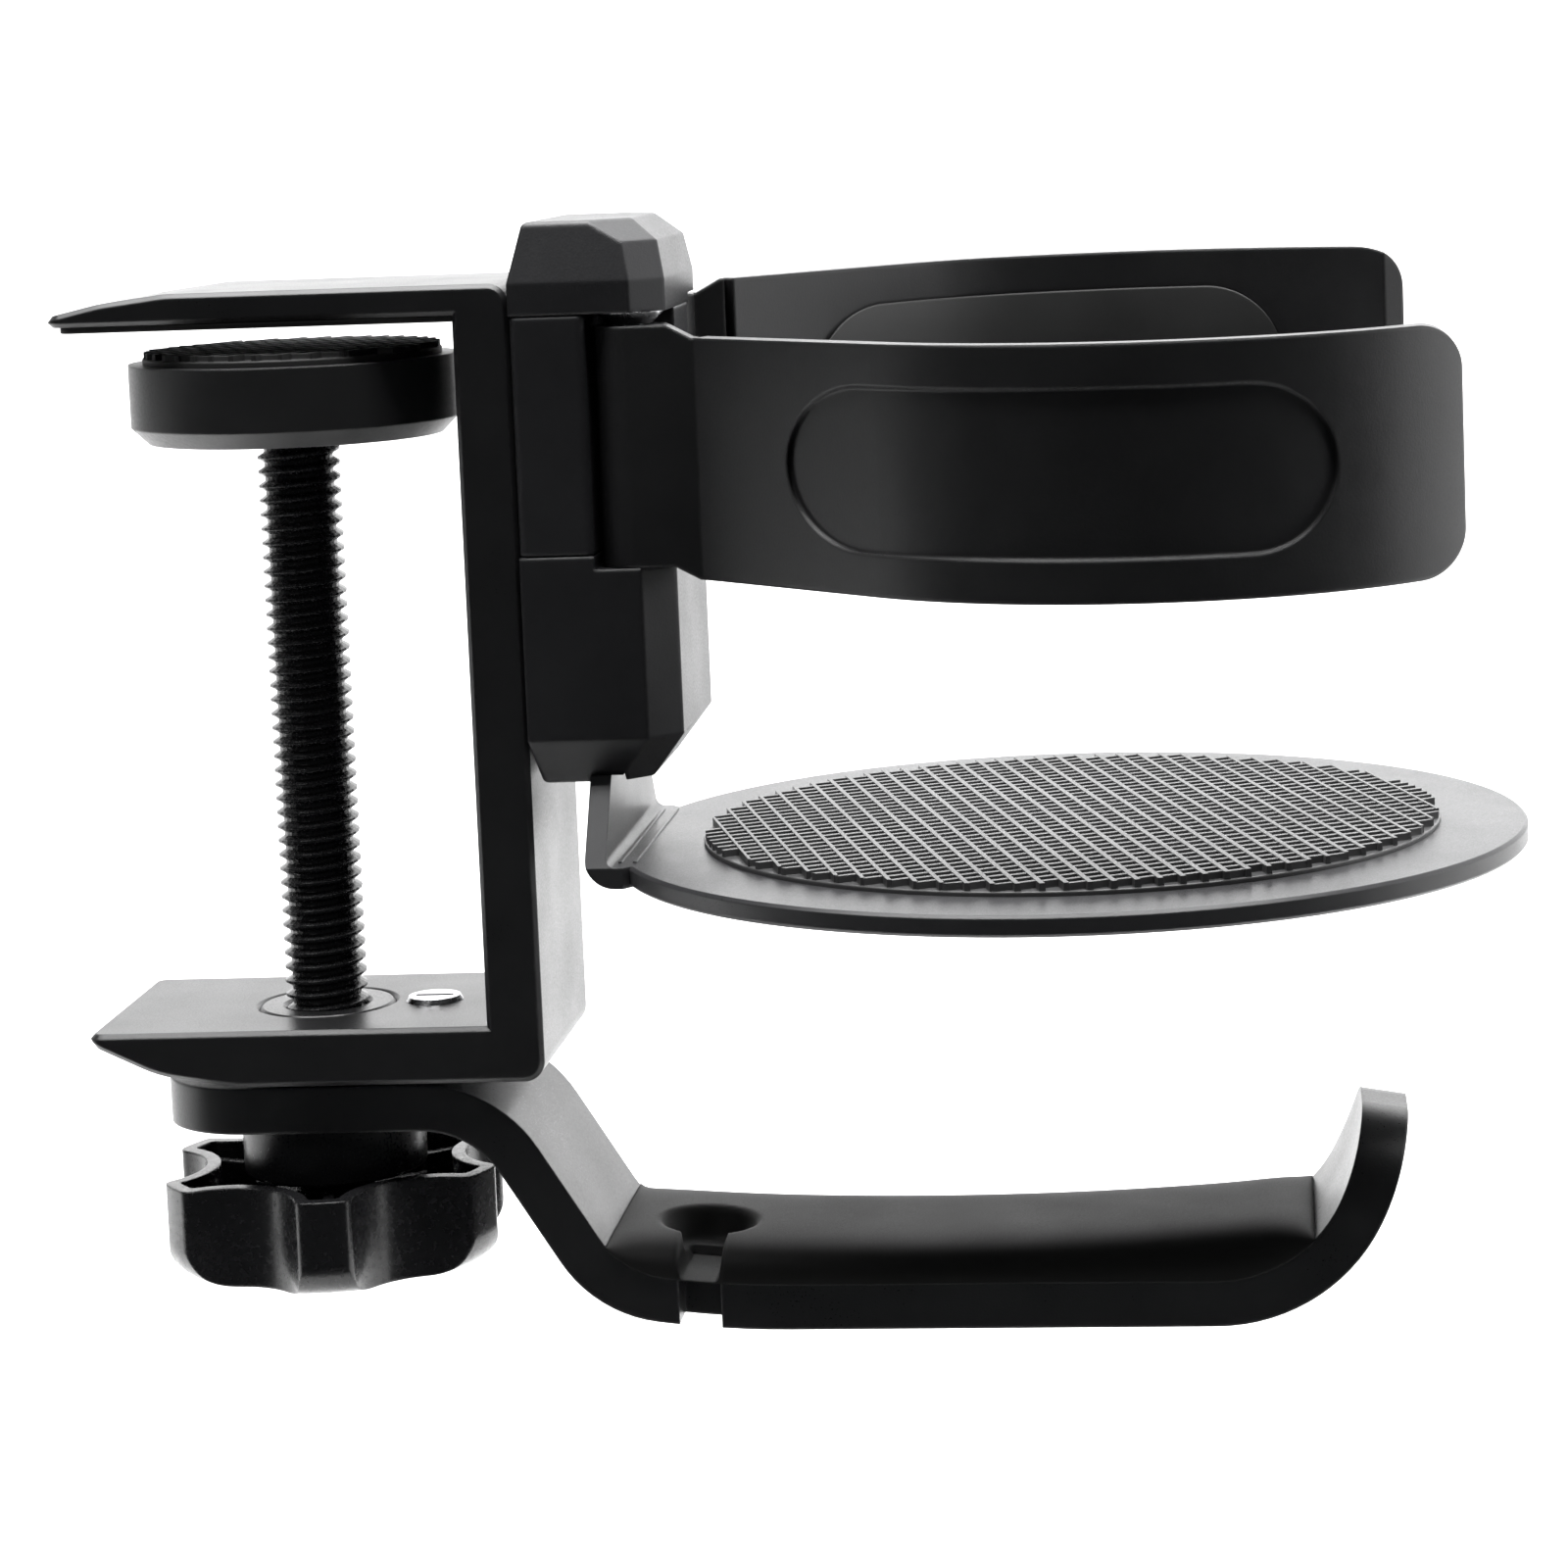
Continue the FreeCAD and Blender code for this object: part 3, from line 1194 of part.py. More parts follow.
def check_and_write():
    """Stop on any failed object or bad solid, then write one file for each sub-part."""
    doc.recompute()
    for thing in doc.Objects:
        if "Invalid" in thing.State or "Error" in thing.State:
            raise RuntimeError(f"{thing.Name} ({thing.Label}) failed: {thing.State}")
    for thing in nodes:
        if thing.Shape.isNull() or not thing.Shape.isValid():
            raise RuntimeError(thing.Label + " has no valid shape")
    os.makedirs("parts", exist_ok=True)
    for thing in nodes:
        thing.Shape.exportStep(f"parts/{thing.Label}.step")
        print(f"{thing.Label:22s} solids {len(thing.Shape.Solids)}  volume {thing.Shape.Volume:9.2f} mm3")


make_clamp_frame()
make_upper_jaw_pad()
make_clamp_bush()
make_hook_collar()
make_hook_washer()
make_detent_plunger()
make_foot()
make_clamp_screw()
make_knob_and_pin()
make_headset_hook()
make_hook_pad()
make_upper_cap()
make_middle_block()
make_lower_cap()
make_fixing_screws()
make_cap_screws()
for arm_label, arm_side in (("arm_front", -1), ("arm_rear", 1)):
    make_arm(arm_label, arm_side)
    make_hinge(arm_label, arm_side)
make_tray_plate()
make_tray_mat()
check_and_write()
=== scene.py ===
# %% [markdown]
# # A desk clamp cup holder
# The model is a black C-shaped desk clamp. A hand screw with a star knob closes it on a desk board, a round tray
# and two swinging arms hold a cup on its outer side, and a hook for a headset swivels under it.
# The machined pieces come from the CAD frame and keep their shapes. Here they get their finishes, and the soft and
# threaded pieces, which the CAD frame holds only as plain solids, are modelled properly.
# Everything is in metres, and one helper turns millimetres into metres.

# %% Load the frame
import json
import math
import bmesh
import bpy
from mathutils import Matrix, Vector


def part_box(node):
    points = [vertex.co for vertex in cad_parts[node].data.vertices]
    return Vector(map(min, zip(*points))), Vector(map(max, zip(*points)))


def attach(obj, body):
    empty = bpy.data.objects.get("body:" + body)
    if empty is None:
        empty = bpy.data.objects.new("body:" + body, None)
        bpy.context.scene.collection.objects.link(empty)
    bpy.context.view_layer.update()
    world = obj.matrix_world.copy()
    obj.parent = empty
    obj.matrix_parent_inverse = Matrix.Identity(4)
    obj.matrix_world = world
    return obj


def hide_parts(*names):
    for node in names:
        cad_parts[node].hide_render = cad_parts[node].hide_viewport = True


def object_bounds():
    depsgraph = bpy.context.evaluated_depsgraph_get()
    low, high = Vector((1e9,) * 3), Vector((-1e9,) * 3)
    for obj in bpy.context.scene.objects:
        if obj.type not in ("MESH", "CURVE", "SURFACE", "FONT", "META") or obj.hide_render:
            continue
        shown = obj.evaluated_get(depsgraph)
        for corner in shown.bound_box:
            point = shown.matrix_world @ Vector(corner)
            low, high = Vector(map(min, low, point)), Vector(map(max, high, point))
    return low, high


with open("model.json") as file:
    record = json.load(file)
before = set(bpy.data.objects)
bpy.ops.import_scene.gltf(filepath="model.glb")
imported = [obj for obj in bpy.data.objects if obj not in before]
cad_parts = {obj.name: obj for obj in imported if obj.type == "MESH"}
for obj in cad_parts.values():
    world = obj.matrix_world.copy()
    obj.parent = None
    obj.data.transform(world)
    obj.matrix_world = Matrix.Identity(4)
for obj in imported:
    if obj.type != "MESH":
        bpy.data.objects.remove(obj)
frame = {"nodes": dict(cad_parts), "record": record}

MM = 0.001
cad_low, cad_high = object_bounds()
print("CAD box in mm:", [round(v / MM, 1) for v in (*cad_low, *cad_high)])

# %% [markdown]
# ## Camera
# The camera stands low in front of the clamp, a little to the cup's side, and looks slightly down, so that the
# tray shows as a flat ellipse. A long lens keeps the upright edges almost parallel.
# The lens shift puts the object in the middle of the picture without turning the camera.

# %% Camera
camera_data = bpy.data.cameras.new("camera")
camera_data.lens = 95.83
camera_data.sensor_width = 36.0
camera_data.shift_x = -0.1548
camera_data.shift_y = -0.1570
camera_data.dof.use_dof = False
camera = bpy.data.objects.new("camera", camera_data)
bpy.context.scene.collection.objects.link(camera)
TILT = Vector((0.109, 0.058, -0.032))
facing = Matrix(((1, 0, 0), (0, 0, -1), (0, 1, 0)))
world_to_view = Matrix.Rotation(TILT.length, 3, TILT.normalized()) @ facing
rows = [Vector(world_to_view[0]), -Vector(world_to_view[1]), -Vector(world_to_view[2])]
turned = Matrix(rows).transposed().to_4x4()
CAMERA_PLACE = Vector((94.94, -401.09, 20.24)) * MM
camera.matrix_world = Matrix.Translation(CAMERA_PLACE) @ turned
bpy.context.scene.camera = camera
print("camera", [round(v, 3) for v in camera.location])

# %% [markdown]
# ## Floor and light
# Black anodised metal shows mostly what it mirrors. A pale floor that curves up into a back wall gives its upper and
# right-hand faces something bright to reflect, and a dim room in front leaves the near faces deep black.
# The sweep is a single sheet: a flat floor, a quarter round and a wall, drawn out sideways from one line of edges.
# It starts just in front of the clamp, because a bright floor further forward would shine on the near faces.

# %% Sweep of the floor
def new_piece(name, bm, smooth=True):
    """Turn a bmesh into an object at the origin, with its normals pointing outwards."""
    bmesh.ops.recalc_face_normals(bm, faces=bm.faces)
    mesh = bpy.data.meshes.new(name)
    bm.to_mesh(mesh)
    bm.free()
    for face in mesh.polygons:
        face.use_smooth = smooth
    piece = bpy.data.objects.new(name, mesh)
    bpy.context.scene.collection.objects.link(piece)
    return piece


FLOOR = cad_low.z - 0.12
FLOOR_FRONT = -0.1
FLOOR_BACK = 0.75
ROUND = 0.5
ROUND_STEPS = 12
WALL_HEIGHT = 2.2
HALF_SPAN = 2.4
bm = bmesh.new()
path = [Vector((0, FLOOR_FRONT, FLOOR)), Vector((0, FLOOR_BACK, FLOOR))]
for step in range(1, ROUND_STEPS + 1):
    angle = math.radians(90 * step / ROUND_STEPS)
    path.append(Vector((0, FLOOR_BACK + ROUND * math.sin(angle), FLOOR + ROUND * (1 - math.cos(angle)))))
path.append(Vector((0, FLOOR_BACK + ROUND, FLOOR + WALL_HEIGHT)))
points = [bm.verts.new(point + Vector((-HALF_SPAN, 0, 0))) for point in path]
edges = [bm.edges.new(pair) for pair in zip(points, points[1:])]
swept = bmesh.ops.extrude_edge_only(bm, edges=edges)["geom"]
bmesh.ops.translate(bm, vec=(2 * HALF_SPAN, 0, 0), verts=[v for v in swept if isinstance(v, bmesh.types.BMVert)])
sweep = new_piece("pale_sweep", bm)
print("floor at", round(FLOOR / MM), "mm")

# %% [markdown]
# The lights are soft boxes. Two make the wall and the floor bright, one gives the cup's side a gradient, and a weak
# one in front only draws thin lines on the edges. The world adds a trace of light, so that no face is pure black.

# %% Lights
def soft_light(name, place, target, size, power):
    """A square soft box aimed at a point."""
    data = bpy.data.lights.new(name, "AREA")
    data.shape = "SQUARE"
    data.size = size
    data.energy = power
    light = bpy.data.objects.new(name, data)
    light.location = place
    light.rotation_euler = (Vector(target) - Vector(place)).to_track_quat("-Z", "Y").to_euler()
    bpy.context.scene.collection.objects.link(light)
    return light


soft_light("wall_light", (0.0, 0.30, 1.5), (0.0, 1.25, 0.3), 1.6, 75)
soft_light("floor_light", (0.1, 0.1, 1.3), (0.1, 0.2, -0.2), 1.0, 16)
soft_light("right_light", (1.2, 0.25, 0.35), (0.05, 0.0, -0.03), 0.8, 5)
soft_light("front_light", (-0.6, -1.1, 0.75), (0.04, 0.0, -0.04), 0.35, 1.2)
world = bpy.data.worlds.new("dim_room")
world.use_nodes = True
world.node_tree.nodes["Background"].inputs["Color"].default_value = (0.9, 0.95, 1.0, 1)
world.node_tree.nodes["Background"].inputs["Strength"].default_value = 0.035
bpy.context.scene.world = world
bpy.context.scene.view_settings.view_transform = "Standard"

# %% [markdown]
# ## Finishes
# All finishes share one recipe. A fine grain bumps the surface and stirs its roughness, a broad cloud shifts the
# colour a little, and a rounded-edge normal softens the corners and shows where an edge is worn paler.
# Each finish differs in its grain's size and depth, its gloss and its tone. Patterns read object coordinates,
# which are the real place on the piece, so a grain of 0.15 mm is 0.15 mm on every piece.

# %% Recipe for a finish
def finish(name, tone, rough, grain_mm, depth, edge_mm=0.25, wear=0.02, cloud=0.25, metallic=0.0, specular=0.5,
           scratches=0.0):
    """A material with grain, clouded colour, softened edges and a trace of wear."""
    material = bpy.data.materials.new(name)
    material.use_nodes = True
    nodes, links = material.node_tree.nodes, material.node_tree.links
    shader = nodes["Principled BSDF"]
    shader.inputs["Metallic"].default_value = metallic
    shader.inputs["Specular IOR Level"].default_value = specular
    place = nodes.new("ShaderNodeTexCoord")

    def noise(size_mm, detail, stretch=None):
        texture = nodes.new("ShaderNodeTexNoise")
        texture.inputs["Scale"].default_value = 1.0 / (size_mm * MM)
        texture.inputs["Detail"].default_value = detail
        source = place.outputs["Object"]
        if stretch:
            mapping = nodes.new("ShaderNodeMapping")
            mapping.inputs["Scale"].default_value = stretch
            links.new(source, mapping.inputs["Vector"])
            source = mapping.outputs["Vector"]
        links.new(source, texture.inputs["Vector"])
        return texture.outputs["Fac"]

    def ramp(value, low, high, start=0.3, end=0.7):
        band = nodes.new("ShaderNodeMapRange")
        band.inputs["From Min"].default_value = start
        band.inputs["From Max"].default_value = end
        band.inputs["To Min"].default_value = low
        band.inputs["To Max"].default_value = high
        links.new(value, band.inputs["Value"])
        return band.outputs["Result"]

    grain = noise(grain_mm, 3.0)
    broad = noise(9.0, 4.0)
    rounded = nodes.new("ShaderNodeBevel")
    rounded.samples = 4
    rounded.inputs["Radius"].default_value = edge_mm * MM
    flat = nodes.new("ShaderNodeNewGeometry")
    meeting = nodes.new("ShaderNodeVectorMath")
    meeting.operation = "DOT_PRODUCT"
    links.new(rounded.outputs["Normal"], meeting.inputs[0])
    links.new(flat.outputs["True Normal"], meeting.inputs[1])
    edge = ramp(meeting.outputs["Value"], 1.0, 0.0, 0.80, 0.97)
    worn = nodes.new("ShaderNodeMath")
    worn.operation = "MULTIPLY"
    links.new(edge, worn.inputs[0])
    links.new(ramp(noise(1.6, 5.0), 0.0, 1.0, 0.45, 0.65), worn.inputs[1])

    shade = nodes.new("ShaderNodeMix")
    shade.data_type = "RGBA"
    shade.inputs["A"].default_value = (*[c * (1 - cloud) for c in tone], 1)
    shade.inputs["B"].default_value = (*[c * (1 + cloud) for c in tone], 1)
    links.new(broad, shade.inputs["Factor"])
    bare = nodes.new("ShaderNodeMix")
    bare.data_type = "RGBA"
    bare.inputs["B"].default_value = (*[c + wear for c in tone], 1)
    links.new(worn.outputs["Value"], bare.inputs["Factor"])
    links.new(shade.outputs["Result"], bare.inputs["A"])
    links.new(bare.outputs["Result"], shader.inputs["Base Color"])

    gloss = nodes.new("ShaderNodeMath")
    links.new(ramp(grain, rough - 0.06, rough + 0.06), gloss.inputs[0])
    links.new(ramp(broad, -0.03, 0.03), gloss.inputs[1])
    links.new(gloss.outputs["Value"], shader.inputs["Roughness"])

    bump = nodes.new("ShaderNodeBump")
    bump.inputs["Strength"].default_value = 1.0
    bump.inputs["Distance"].default_value = depth * MM
    links.new(grain, bump.inputs["Height"])
    links.new(rounded.outputs["Normal"], bump.inputs["Normal"])
    last = bump
    if scratches:
        fine = nodes.new("ShaderNodeBump")
        fine.inputs["Distance"].default_value = scratches * MM
        links.new(ramp(noise(0.5, 2.0, (1.0, 0.06, 1.0)), 0.0, 1.0, 0.62, 0.70), fine.inputs["Height"])
        links.new(bump.outputs["Normal"], fine.inputs["Normal"])
        last = fine
    links.new(last.outputs["Normal"], shader.inputs["Normal"])
    return material


FINISHES = {
    "frame_metal": finish("black anodised aluminium", (0.016, 0.016, 0.017), 0.34, 0.16, 0.010, 0.30, 0.05,
                          specular=0.5, scratches=0.003),
    "tray_metal": finish("blasted tray aluminium", (0.034, 0.034, 0.036), 0.34, 0.14, 0.008, 0.20, 0.06,
                         specular=0.42),
    "hook_metal": finish("blasted hook aluminium", (0.016, 0.016, 0.017), 0.34, 0.22, 0.016, 0.40, 0.04,
                         specular=0.5),
    "bush_steel": finish("black oxide steel", (0.018, 0.018, 0.019), 0.30, 0.30, 0.004, 0.12, 0.05),
    "screw_steel": finish("oiled black oxide", (0.014, 0.014, 0.015), 0.26, 0.25, 0.003, 0.10, 0.04),
    "bright_steel": finish("plated steel", (0.55, 0.55, 0.56), 0.22, 0.40, 0.003, 0.10, 0.05, metallic=1.0),
    "washer_plastic": finish("slip washer nylon", (0.03, 0.03, 0.03), 0.45, 0.30, 0.004),
    "housing_plastic": finish("housing plastic", (0.022, 0.022, 0.024), 0.40, 0.22, 0.010, 0.55, 0.015),
    "arm_plastic": finish("arm plastic", (0.016, 0.016, 0.017), 0.38, 0.22, 0.010, 0.50, 0.015),
    "foot_plastic": finish("foot plastic", (0.020, 0.020, 0.021), 0.40, 0.30, 0.008, 0.30, 0.02),
    "knob_plastic": finish("knob plastic", (0.012, 0.012, 0.013), 0.25, 0.60, 0.0008, 0.35, 0.01),
    "pad_rubber": finish("clamp rubber", (0.022, 0.022, 0.022), 0.62, 0.20, 0.012, 0.15, 0.02),
    "mat_rubber": finish("ribbed rubber", (0.055, 0.055, 0.056), 0.38, 0.12, 0.006, 0.08, 0.05, specular=0.6),
    "saddle_silicone": finish("saddle silicone", (0.013, 0.013, 0.013), 0.58, 0.12, 0.004, 0.30, 0.0, cloud=0.12,
                              specular=0.14),
    "grip_rubber": finish("grip silicone", (0.020, 0.020, 0.020), 0.50, 0.12, 0.004, 0.25, 0.0),
}
print(len(FINISHES), "finishes")

# %% [markdown]
# The machined and moulded pieces keep the shapes of the CAD frame, since those are exact and turn on its joints.
# Each takes the finish that its slot in the record names, in place of the plain colour it was loaded with.

# %% Sweep material and CAD pieces
pale = finish("pale paper", (0.86, 0.86, 0.86), 0.85, 3.0, 0.02, 1.0, 0.0, cloud=0.01)
sweep.data.materials.append(pale)
slots = {part["node"]: part["material_slot"] for part in frame["record"]["subparts"]}
for name, cad_node in frame["nodes"].items():
    cad_node.data.materials.clear()
    cad_node.data.materials.append(FINISHES[slots[name]])
print("finished", len(frame["nodes"]), "CAD pieces")


def stand_for(piece, node, body):
    """Let a modelled piece stand for a CAD node and take that node's finish and body."""
    piece.data.materials.append(FINISHES[slots[node]])
    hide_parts(node)
    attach(piece, body)
    print(piece.name, len(piece.data.polygons), "faces")

# %% [markdown]
# ## Clamp screw
# The screw is a rolled 8 mm rod with a 1.4 mm pitch. A thread is one profile swept along a helix, and spin with a
# step along the axis does just that: a short profile, as tall as one pitch, meets its own start after each turn.
# The rod is then cut level at both ends and the cuts are closed.

# %% Thread
def threaded_rod(name, low, high, centre, crest, root, pitch):
    """A right-hand threaded rod between two heights."""
    bm = bmesh.new()
    steps_per_turn = 28
    turns = math.ceil((high - low) / pitch) + 2
    profile = [(root, 0.0), (root, 0.14), (crest, 0.44), (crest, 0.60), (root, 0.90), (root, 1.0)]
    start = low - pitch * 1.2
    points = [bm.verts.new((centre.x + r, centre.y, start + share * pitch)) for r, share in profile]
    edges = [bm.edges.new(pair) for pair in zip(points, points[1:])]
    bmesh.ops.spin(bm, geom=points + edges, cent=(centre.x, centre.y, 0), axis=(0, 0, 1),
                   dvec=(0, 0, pitch / steps_per_turn), angle=math.tau * turns, steps=steps_per_turn * turns)
    bmesh.ops.remove_doubles(bm, verts=bm.verts, dist=0.002 * MM)
    for height, normal in ((low, (0, 0, -1)), (high, (0, 0, 1))):
        everything = list(bm.verts) + list(bm.edges) + list(bm.faces)
        bmesh.ops.bisect_plane(bm, geom=everything, plane_co=(0, 0, height), plane_no=normal, clear_outer=True)
        rim = [edge for edge in bm.edges if edge.is_boundary and abs(edge.verts[0].co.z - height) < 0.001 * MM]
        bmesh.ops.holes_fill(bm, edges=rim)
    return new_piece(name, bm, smooth=False)


rod_low, rod_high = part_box("clamp_screw")
axis_point = (rod_low + rod_high) / 2
CREST = 4.0 * MM
ROOT = 3.34 * MM
PITCH = 1.4 * MM
rod = threaded_rod("threaded_rod", rod_low.z, rod_high.z, axis_point, CREST, ROOT, PITCH)
stand_for(rod, "clamp_screw", "screw")

# %% [markdown]
# ## Ribbed rubber
# The cup's mat and the clamp's foot pad are moulded from the same rubber: long slanting ribs, crossed by short blades
# that leave deep pockets between them. Bumps alone go flat at the low angle from which the tray is seen, so the
# ribs and blades are real, and each is a small bar of six faces, narrower at its top. A disc carries them. Where a
# bar would reach past the round rim, its corners are drawn back to the rim.

# %% Ribbed mats
RIB_WIDTH = 0.62 * MM
BLADE_WIDTH = 0.68 * MM
RIM_SETBACK = 0.16 * MM


def wedge(bm, middle, along, across, length, width, low, high):
    """A bar with sloping sides, narrower at its top."""
    made = bmesh.ops.create_cube(bm, size=1.0)["verts"]
    for vert in made:
        top = vert.co.z > 0
        reach = vert.co.x * length
        side = vert.co.y * width * (0.8 if top else 1.0)
        vert.co = middle + along * reach + across * side
        vert.co.z = high if top else low


def ribbed_mat(name, centre, radius, low, high, lean, turn, rib_gap, blade_gap, relief):
    """A rubber disc with a ladder of ribs and blades on its top."""
    bm = bmesh.new()
    skin = high - relief
    disc = bmesh.ops.create_circle(bm, cap_ends=True, radius=radius, segments=160)["verts"]
    bmesh.ops.translate(bm, vec=(centre.x, centre.y, low), verts=disc)
    raised = bmesh.ops.extrude_face_region(bm, geom=list(bm.faces), use_keep_orig=True)["geom"]
    top_verts = [item for item in raised if isinstance(item, bmesh.types.BMVert)]
    bmesh.ops.translate(bm, vec=(0, 0, skin - low), verts=top_verts)
    rim = [edge for edge in bm.edges if all(abs(v.co.z - skin) < 1e-7 for v in edge.verts)]
    bmesh.ops.bevel(bm, geom=rim, offset=0.15 * MM, offset_type="OFFSET", affect="EDGES", segments=2, profile=0.5,
                    material=-1)
    along = Vector((-math.sin(lean), math.cos(lean), 0))
    across = Vector((math.cos(lean), math.sin(lean), 0))
    blade_along = Vector((math.cos(lean + turn), math.sin(lean + turn), 0))
    blade_across = Vector((-blade_along.y, blade_along.x, 0))
    inside = radius - RIM_SETBACK
    count = int(inside / rib_gap)
    for rib in range(-count - 1, count + 1):
        offset = rib * rib_gap
        half = math.sqrt(max(inside ** 2 - offset ** 2, 0))
        if half > 1.0 * MM:
            wedge(bm, centre + across * offset, along, across, 2 * half, RIB_WIDTH, skin, high)
        column = offset + rib_gap / 2
        blades = int(math.sqrt(max(inside ** 2 - column ** 2, 0)) / blade_gap) + 1
        for number in range(-blades, blades + 1):
            middle = centre + across * (offset + rib_gap / 2) + along * (number * blade_gap)
            if math.hypot(middle.x - centre.x, middle.y - centre.y) < inside - 0.3 * MM:
                wedge(bm, middle, blade_along, blade_across, rib_gap, BLADE_WIDTH, skin,
                      high - relief * 0.1)
    for vert in bm.verts:
        away = math.hypot(vert.co.x - centre.x, vert.co.y - centre.y)
        if vert.co.z >= skin - 1e-7 and away > inside:
            vert.co.x = centre.x + (vert.co.x - centre.x) * inside / away
            vert.co.y = centre.y + (vert.co.y - centre.y) * inside / away
    return new_piece(name, bm, smooth=False)


RIB_GAP = 2.1 * MM
BLADE_GAP = 1.9 * MM
BLADE_TURN = math.radians(14)
mat_low, mat_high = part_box("tray_mat")
mat_centre = (mat_low + mat_high) / 2
cup_mat = ribbed_mat("cup_mat", mat_centre, (mat_high.x - mat_low.x) / 2, mat_low.z, mat_high.z, math.radians(15.5),
                     BLADE_TURN, RIB_GAP, BLADE_GAP, 0.75 * MM)
stand_for(cup_mat, "tray_mat", "frame")

pad_low, pad_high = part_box("foot_pad")
pad_centre = (pad_low + pad_high) / 2
foot_mat = ribbed_mat("foot_mat", pad_centre, (pad_high.x - pad_low.x) / 2, pad_low.z, pad_high.z, math.radians(-28),
                      BLADE_TURN, RIB_GAP, BLADE_GAP, 0.6 * MM)
stand_for(foot_mat, "foot_pad", "foot")

# %% [markdown]
# ## Saddle of the hook
# The saddle is a soft silicone block that fills the bottom of the hook. It sinks a little towards its middle, so that
# a headband stays put, its long sides are rounded over, and a round dish with a slot takes the cable.
# It is one grid, closer spaced towards its borders, raised into a crowned form above the hook's own surface,
# which is found by casting rays down on the CAD hook. A second copy of the grid below closes it.

# %% Saddle
hook = frame["nodes"]["headset_hook"]
saddle_low, saddle_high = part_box("hook_pad")
saddle_mid = (saddle_low + saddle_high) / 2


def hook_height(x):
    """Height of the hook's upper surface, beside the cable slot."""
    hit, point, _, _ = hook.ray_cast(Vector((x, 5 * MM, saddle_high.z + 20 * MM)), Vector((0, 0, -1)))
    return point.z if hit else saddle_high.z


def saddle_top(x):
    """Height of the saddle's ridge: lowest in the middle, rising to both ends."""
    share = (x - saddle_mid.x) / (saddle_high.x - saddle_mid.x)
    return crown + (saddle_high.z - crown) * share * share


THINNEST_END = 0.7 * MM
SEARCH_STEP = 0.1 * MM
crown = hook_height(saddle_mid.x) + 3.5 * MM
left = saddle_low.x
while hook_height(left) > saddle_top(left) - THINNEST_END:
    left += SEARCH_STEP
right = saddle_high.x
while hook_height(right) > saddle_top(right) - THINNEST_END:
    right -= SEARCH_STEP
half_long, half_wide = (right - left) / 2, (saddle_high.y - saddle_low.y) / 2
centre_x = (left + right) / 2
dish_x, dish_y = 37.4 * MM, -2.4 * MM
DISH_RADIUS = 5.2 * MM
SLOT_HALF = 1.75 * MM
SLOT_SLOPE = 0.55 * MM


def smooth_step(value):
    value = min(max(value, 0.0), 1.0)
    return value * value * (3 - 2 * value)


def saddle_height(x, y):
    """Share of the full height at a place: one over most of the top, none at the border."""
    along = min(abs((x - centre_x) / half_long), 1.0)
    beside = min(abs(y / half_wide), 1.0)
    share = (1 - along ** 26) ** 0.5 * (1 - beside ** 5) ** 0.38
    reach = math.hypot(x - dish_x, (y - dish_y)) / DISH_RADIUS
    share *= 1 - 0.80 * (1 - smooth_step((reach - 0.55) / 0.45))
    if y < dish_y:
        share *= 1 - 0.97 * (1 - smooth_step((abs(x - dish_x) - SLOT_HALF) / SLOT_SLOPE))
    return max(share, 0.0)


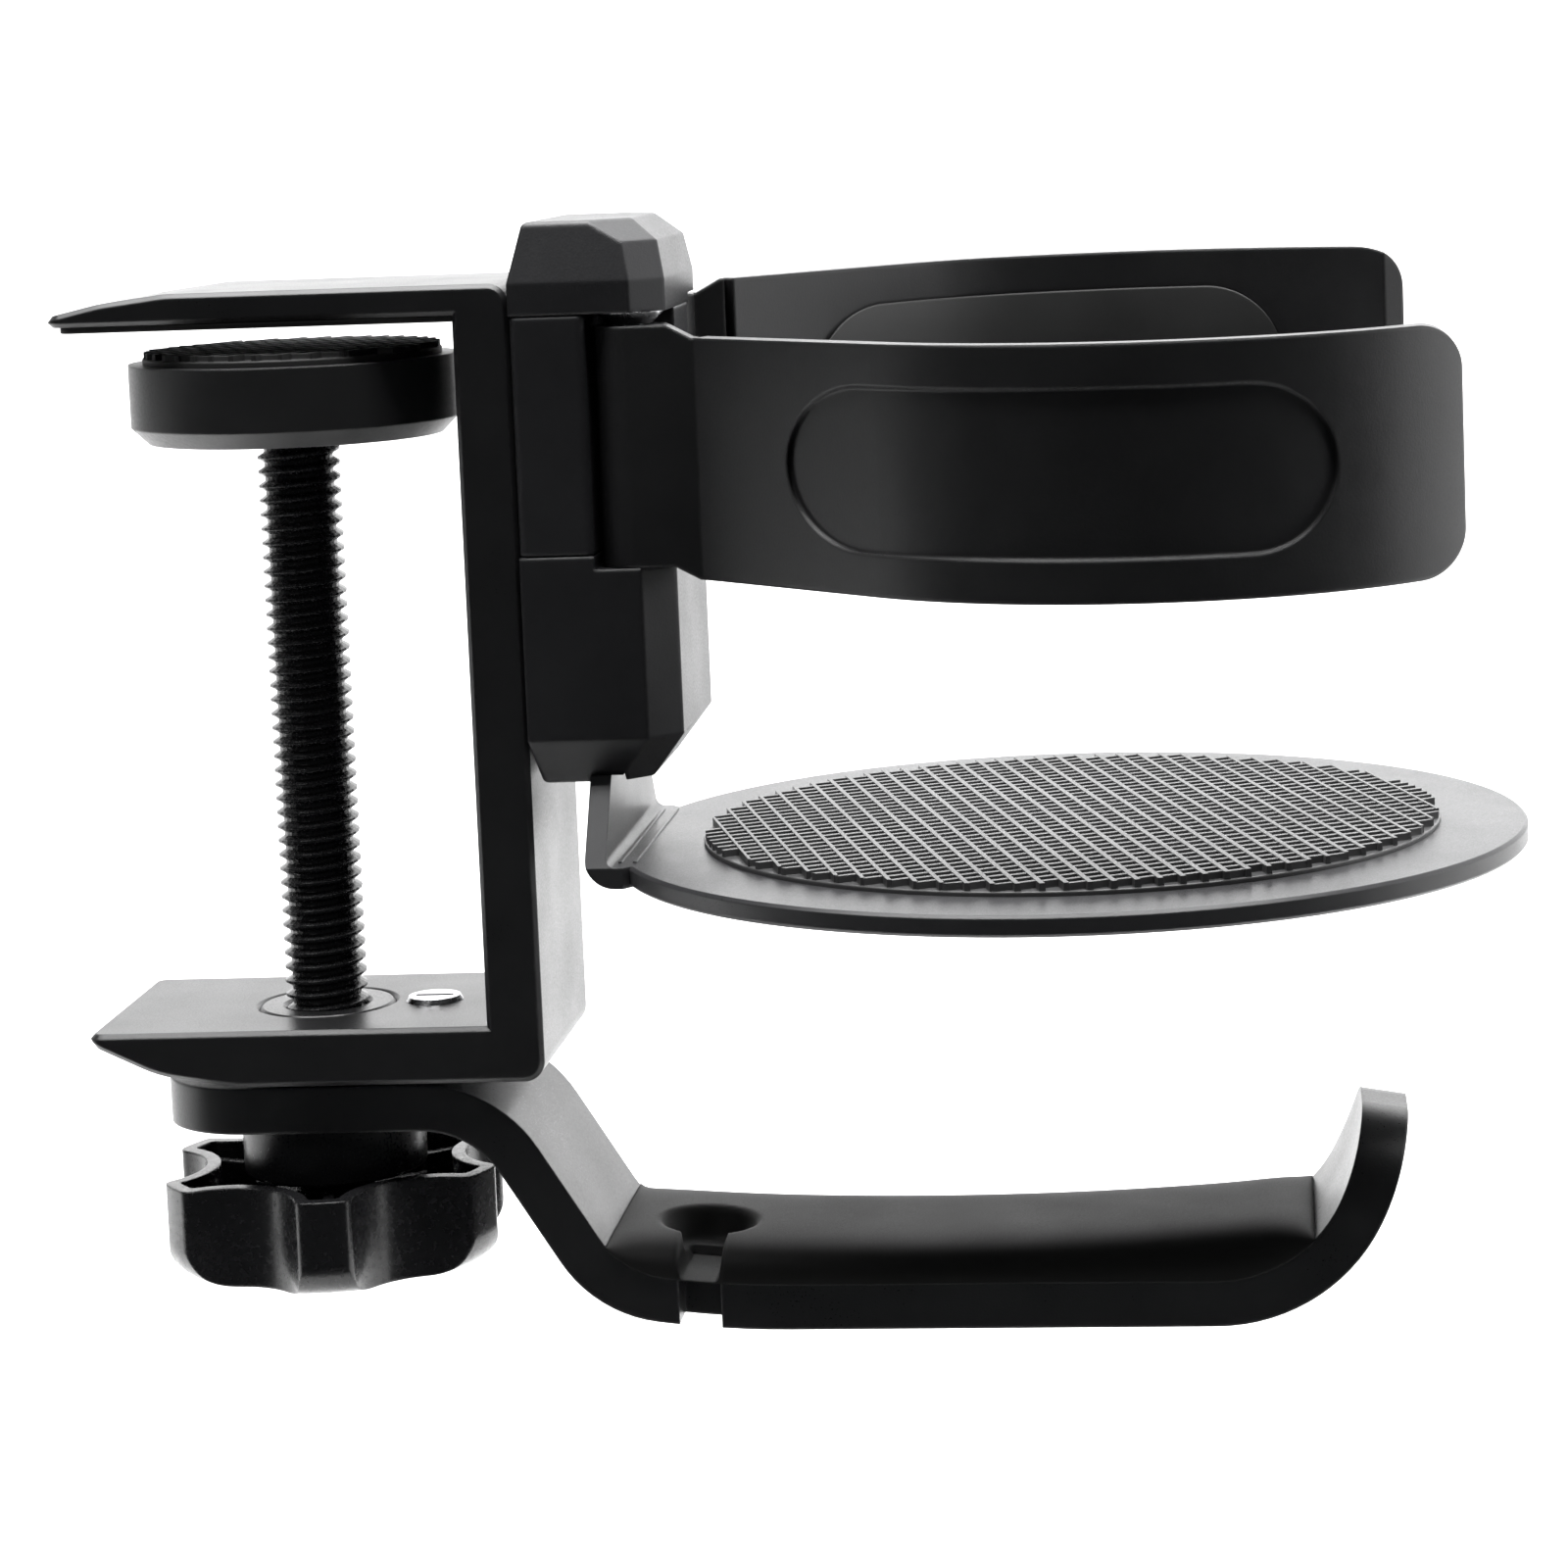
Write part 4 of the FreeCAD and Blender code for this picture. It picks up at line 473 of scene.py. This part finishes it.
bm = bmesh.new()
bmesh.ops.create_grid(bm, x_segments=260, y_segments=76, size=1.0)
lower_sheet = bmesh.ops.extrude_face_region(bm, geom=list(bm.faces), use_keep_orig=True)["geom"]
lower_verts = {item for item in lower_sheet if isinstance(item, bmesh.types.BMVert)}
heights = {}
for vert in bm.verts:
    spread = vert.co.x * 0.75 + 0.25 * math.sin(vert.co.x * math.pi / 2)
    x = centre_x + half_long * spread
    y = half_wide * math.sin(vert.co.y * math.pi / 2)
    key = round(x * 1e7)
    if key not in heights:
        heights[key] = hook_height(x)
    base = heights[key]
    rise = (saddle_top(x) - base) * saddle_height(x, y)
    vert.co = (x, y, base - 0.05 * MM if vert in lower_verts else base + rise)
saddle = new_piece("saddle", bm)
stand_for(saddle, "hook_pad", "hook")

# %% [markdown]
# ## Grips and jaw pad
# The grips inside the arms and the sheet under the upper jaw are flat rubber with rounded rims. Each starts from a
# copy of its CAD solid: loose triangles are merged, flat regions joined, and a bevel rounds the rims.

# %% Softened rubber pieces
def softened(name, node, body, rim):
    """A copy of a CAD solid with rounded rims, which stands for it."""
    bm = bmesh.new()
    bm.from_mesh(frame["nodes"][node].data)
    bmesh.ops.remove_doubles(bm, verts=bm.verts, dist=0.001 * MM)
    bmesh.ops.dissolve_limit(bm, angle_limit=math.radians(0.5), verts=bm.verts, edges=bm.edges)
    sharp = [edge for edge in bm.edges if len(edge.link_faces) == 2 and edge.calc_face_angle() > math.radians(35)]
    bmesh.ops.bevel(bm, geom=sharp, offset=rim, offset_type="OFFSET", affect="EDGES", segments=3, profile=0.5,
                    material=-1, clamp_overlap=True)
    piece = new_piece(name, bm)
    stand_for(piece, node, body)
    return piece


softened("front_grip", "arm_front_grip", "front_arm", 0.35 * MM)
softened("rear_grip", "arm_rear_grip", "rear_arm", 0.35 * MM)
softened("jaw_sheet", "upper_jaw_pad", "frame", 0.12 * MM)

# %% [markdown]
# ## Bend of the tray
# The sheet of the tray is pressed along two fine ridges where it turns up into the housing.
# Each ridge is one of the low bars used on the mats. It could be a bump in the material, but the view is so flat that
# only a raised edge catches the light.

# %% Pressed ridges
tray_top = mat_low.z
RIDGE_LENGTH = 29 * MM
RIDGE_WIDTH = 0.42 * MM
RIDGE_RISE = 0.14 * MM
RIDGE_ROOT = 0.1 * MM
bm = bmesh.new()
for x in (32.1 * MM, 33.5 * MM):
    wedge(bm, Vector((x, 0, 0)), Vector((0, 1, 0)), Vector((1, 0, 0)), RIDGE_LENGTH, RIDGE_WIDTH,
          tray_top - RIDGE_ROOT, tray_top + RIDGE_RISE)
ridges = new_piece("bend_ridges", bm, smooth=False)
ridges.data.materials.append(FINISHES["tray_metal"])
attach(ridges, "frame")
print("ridges at the bend")
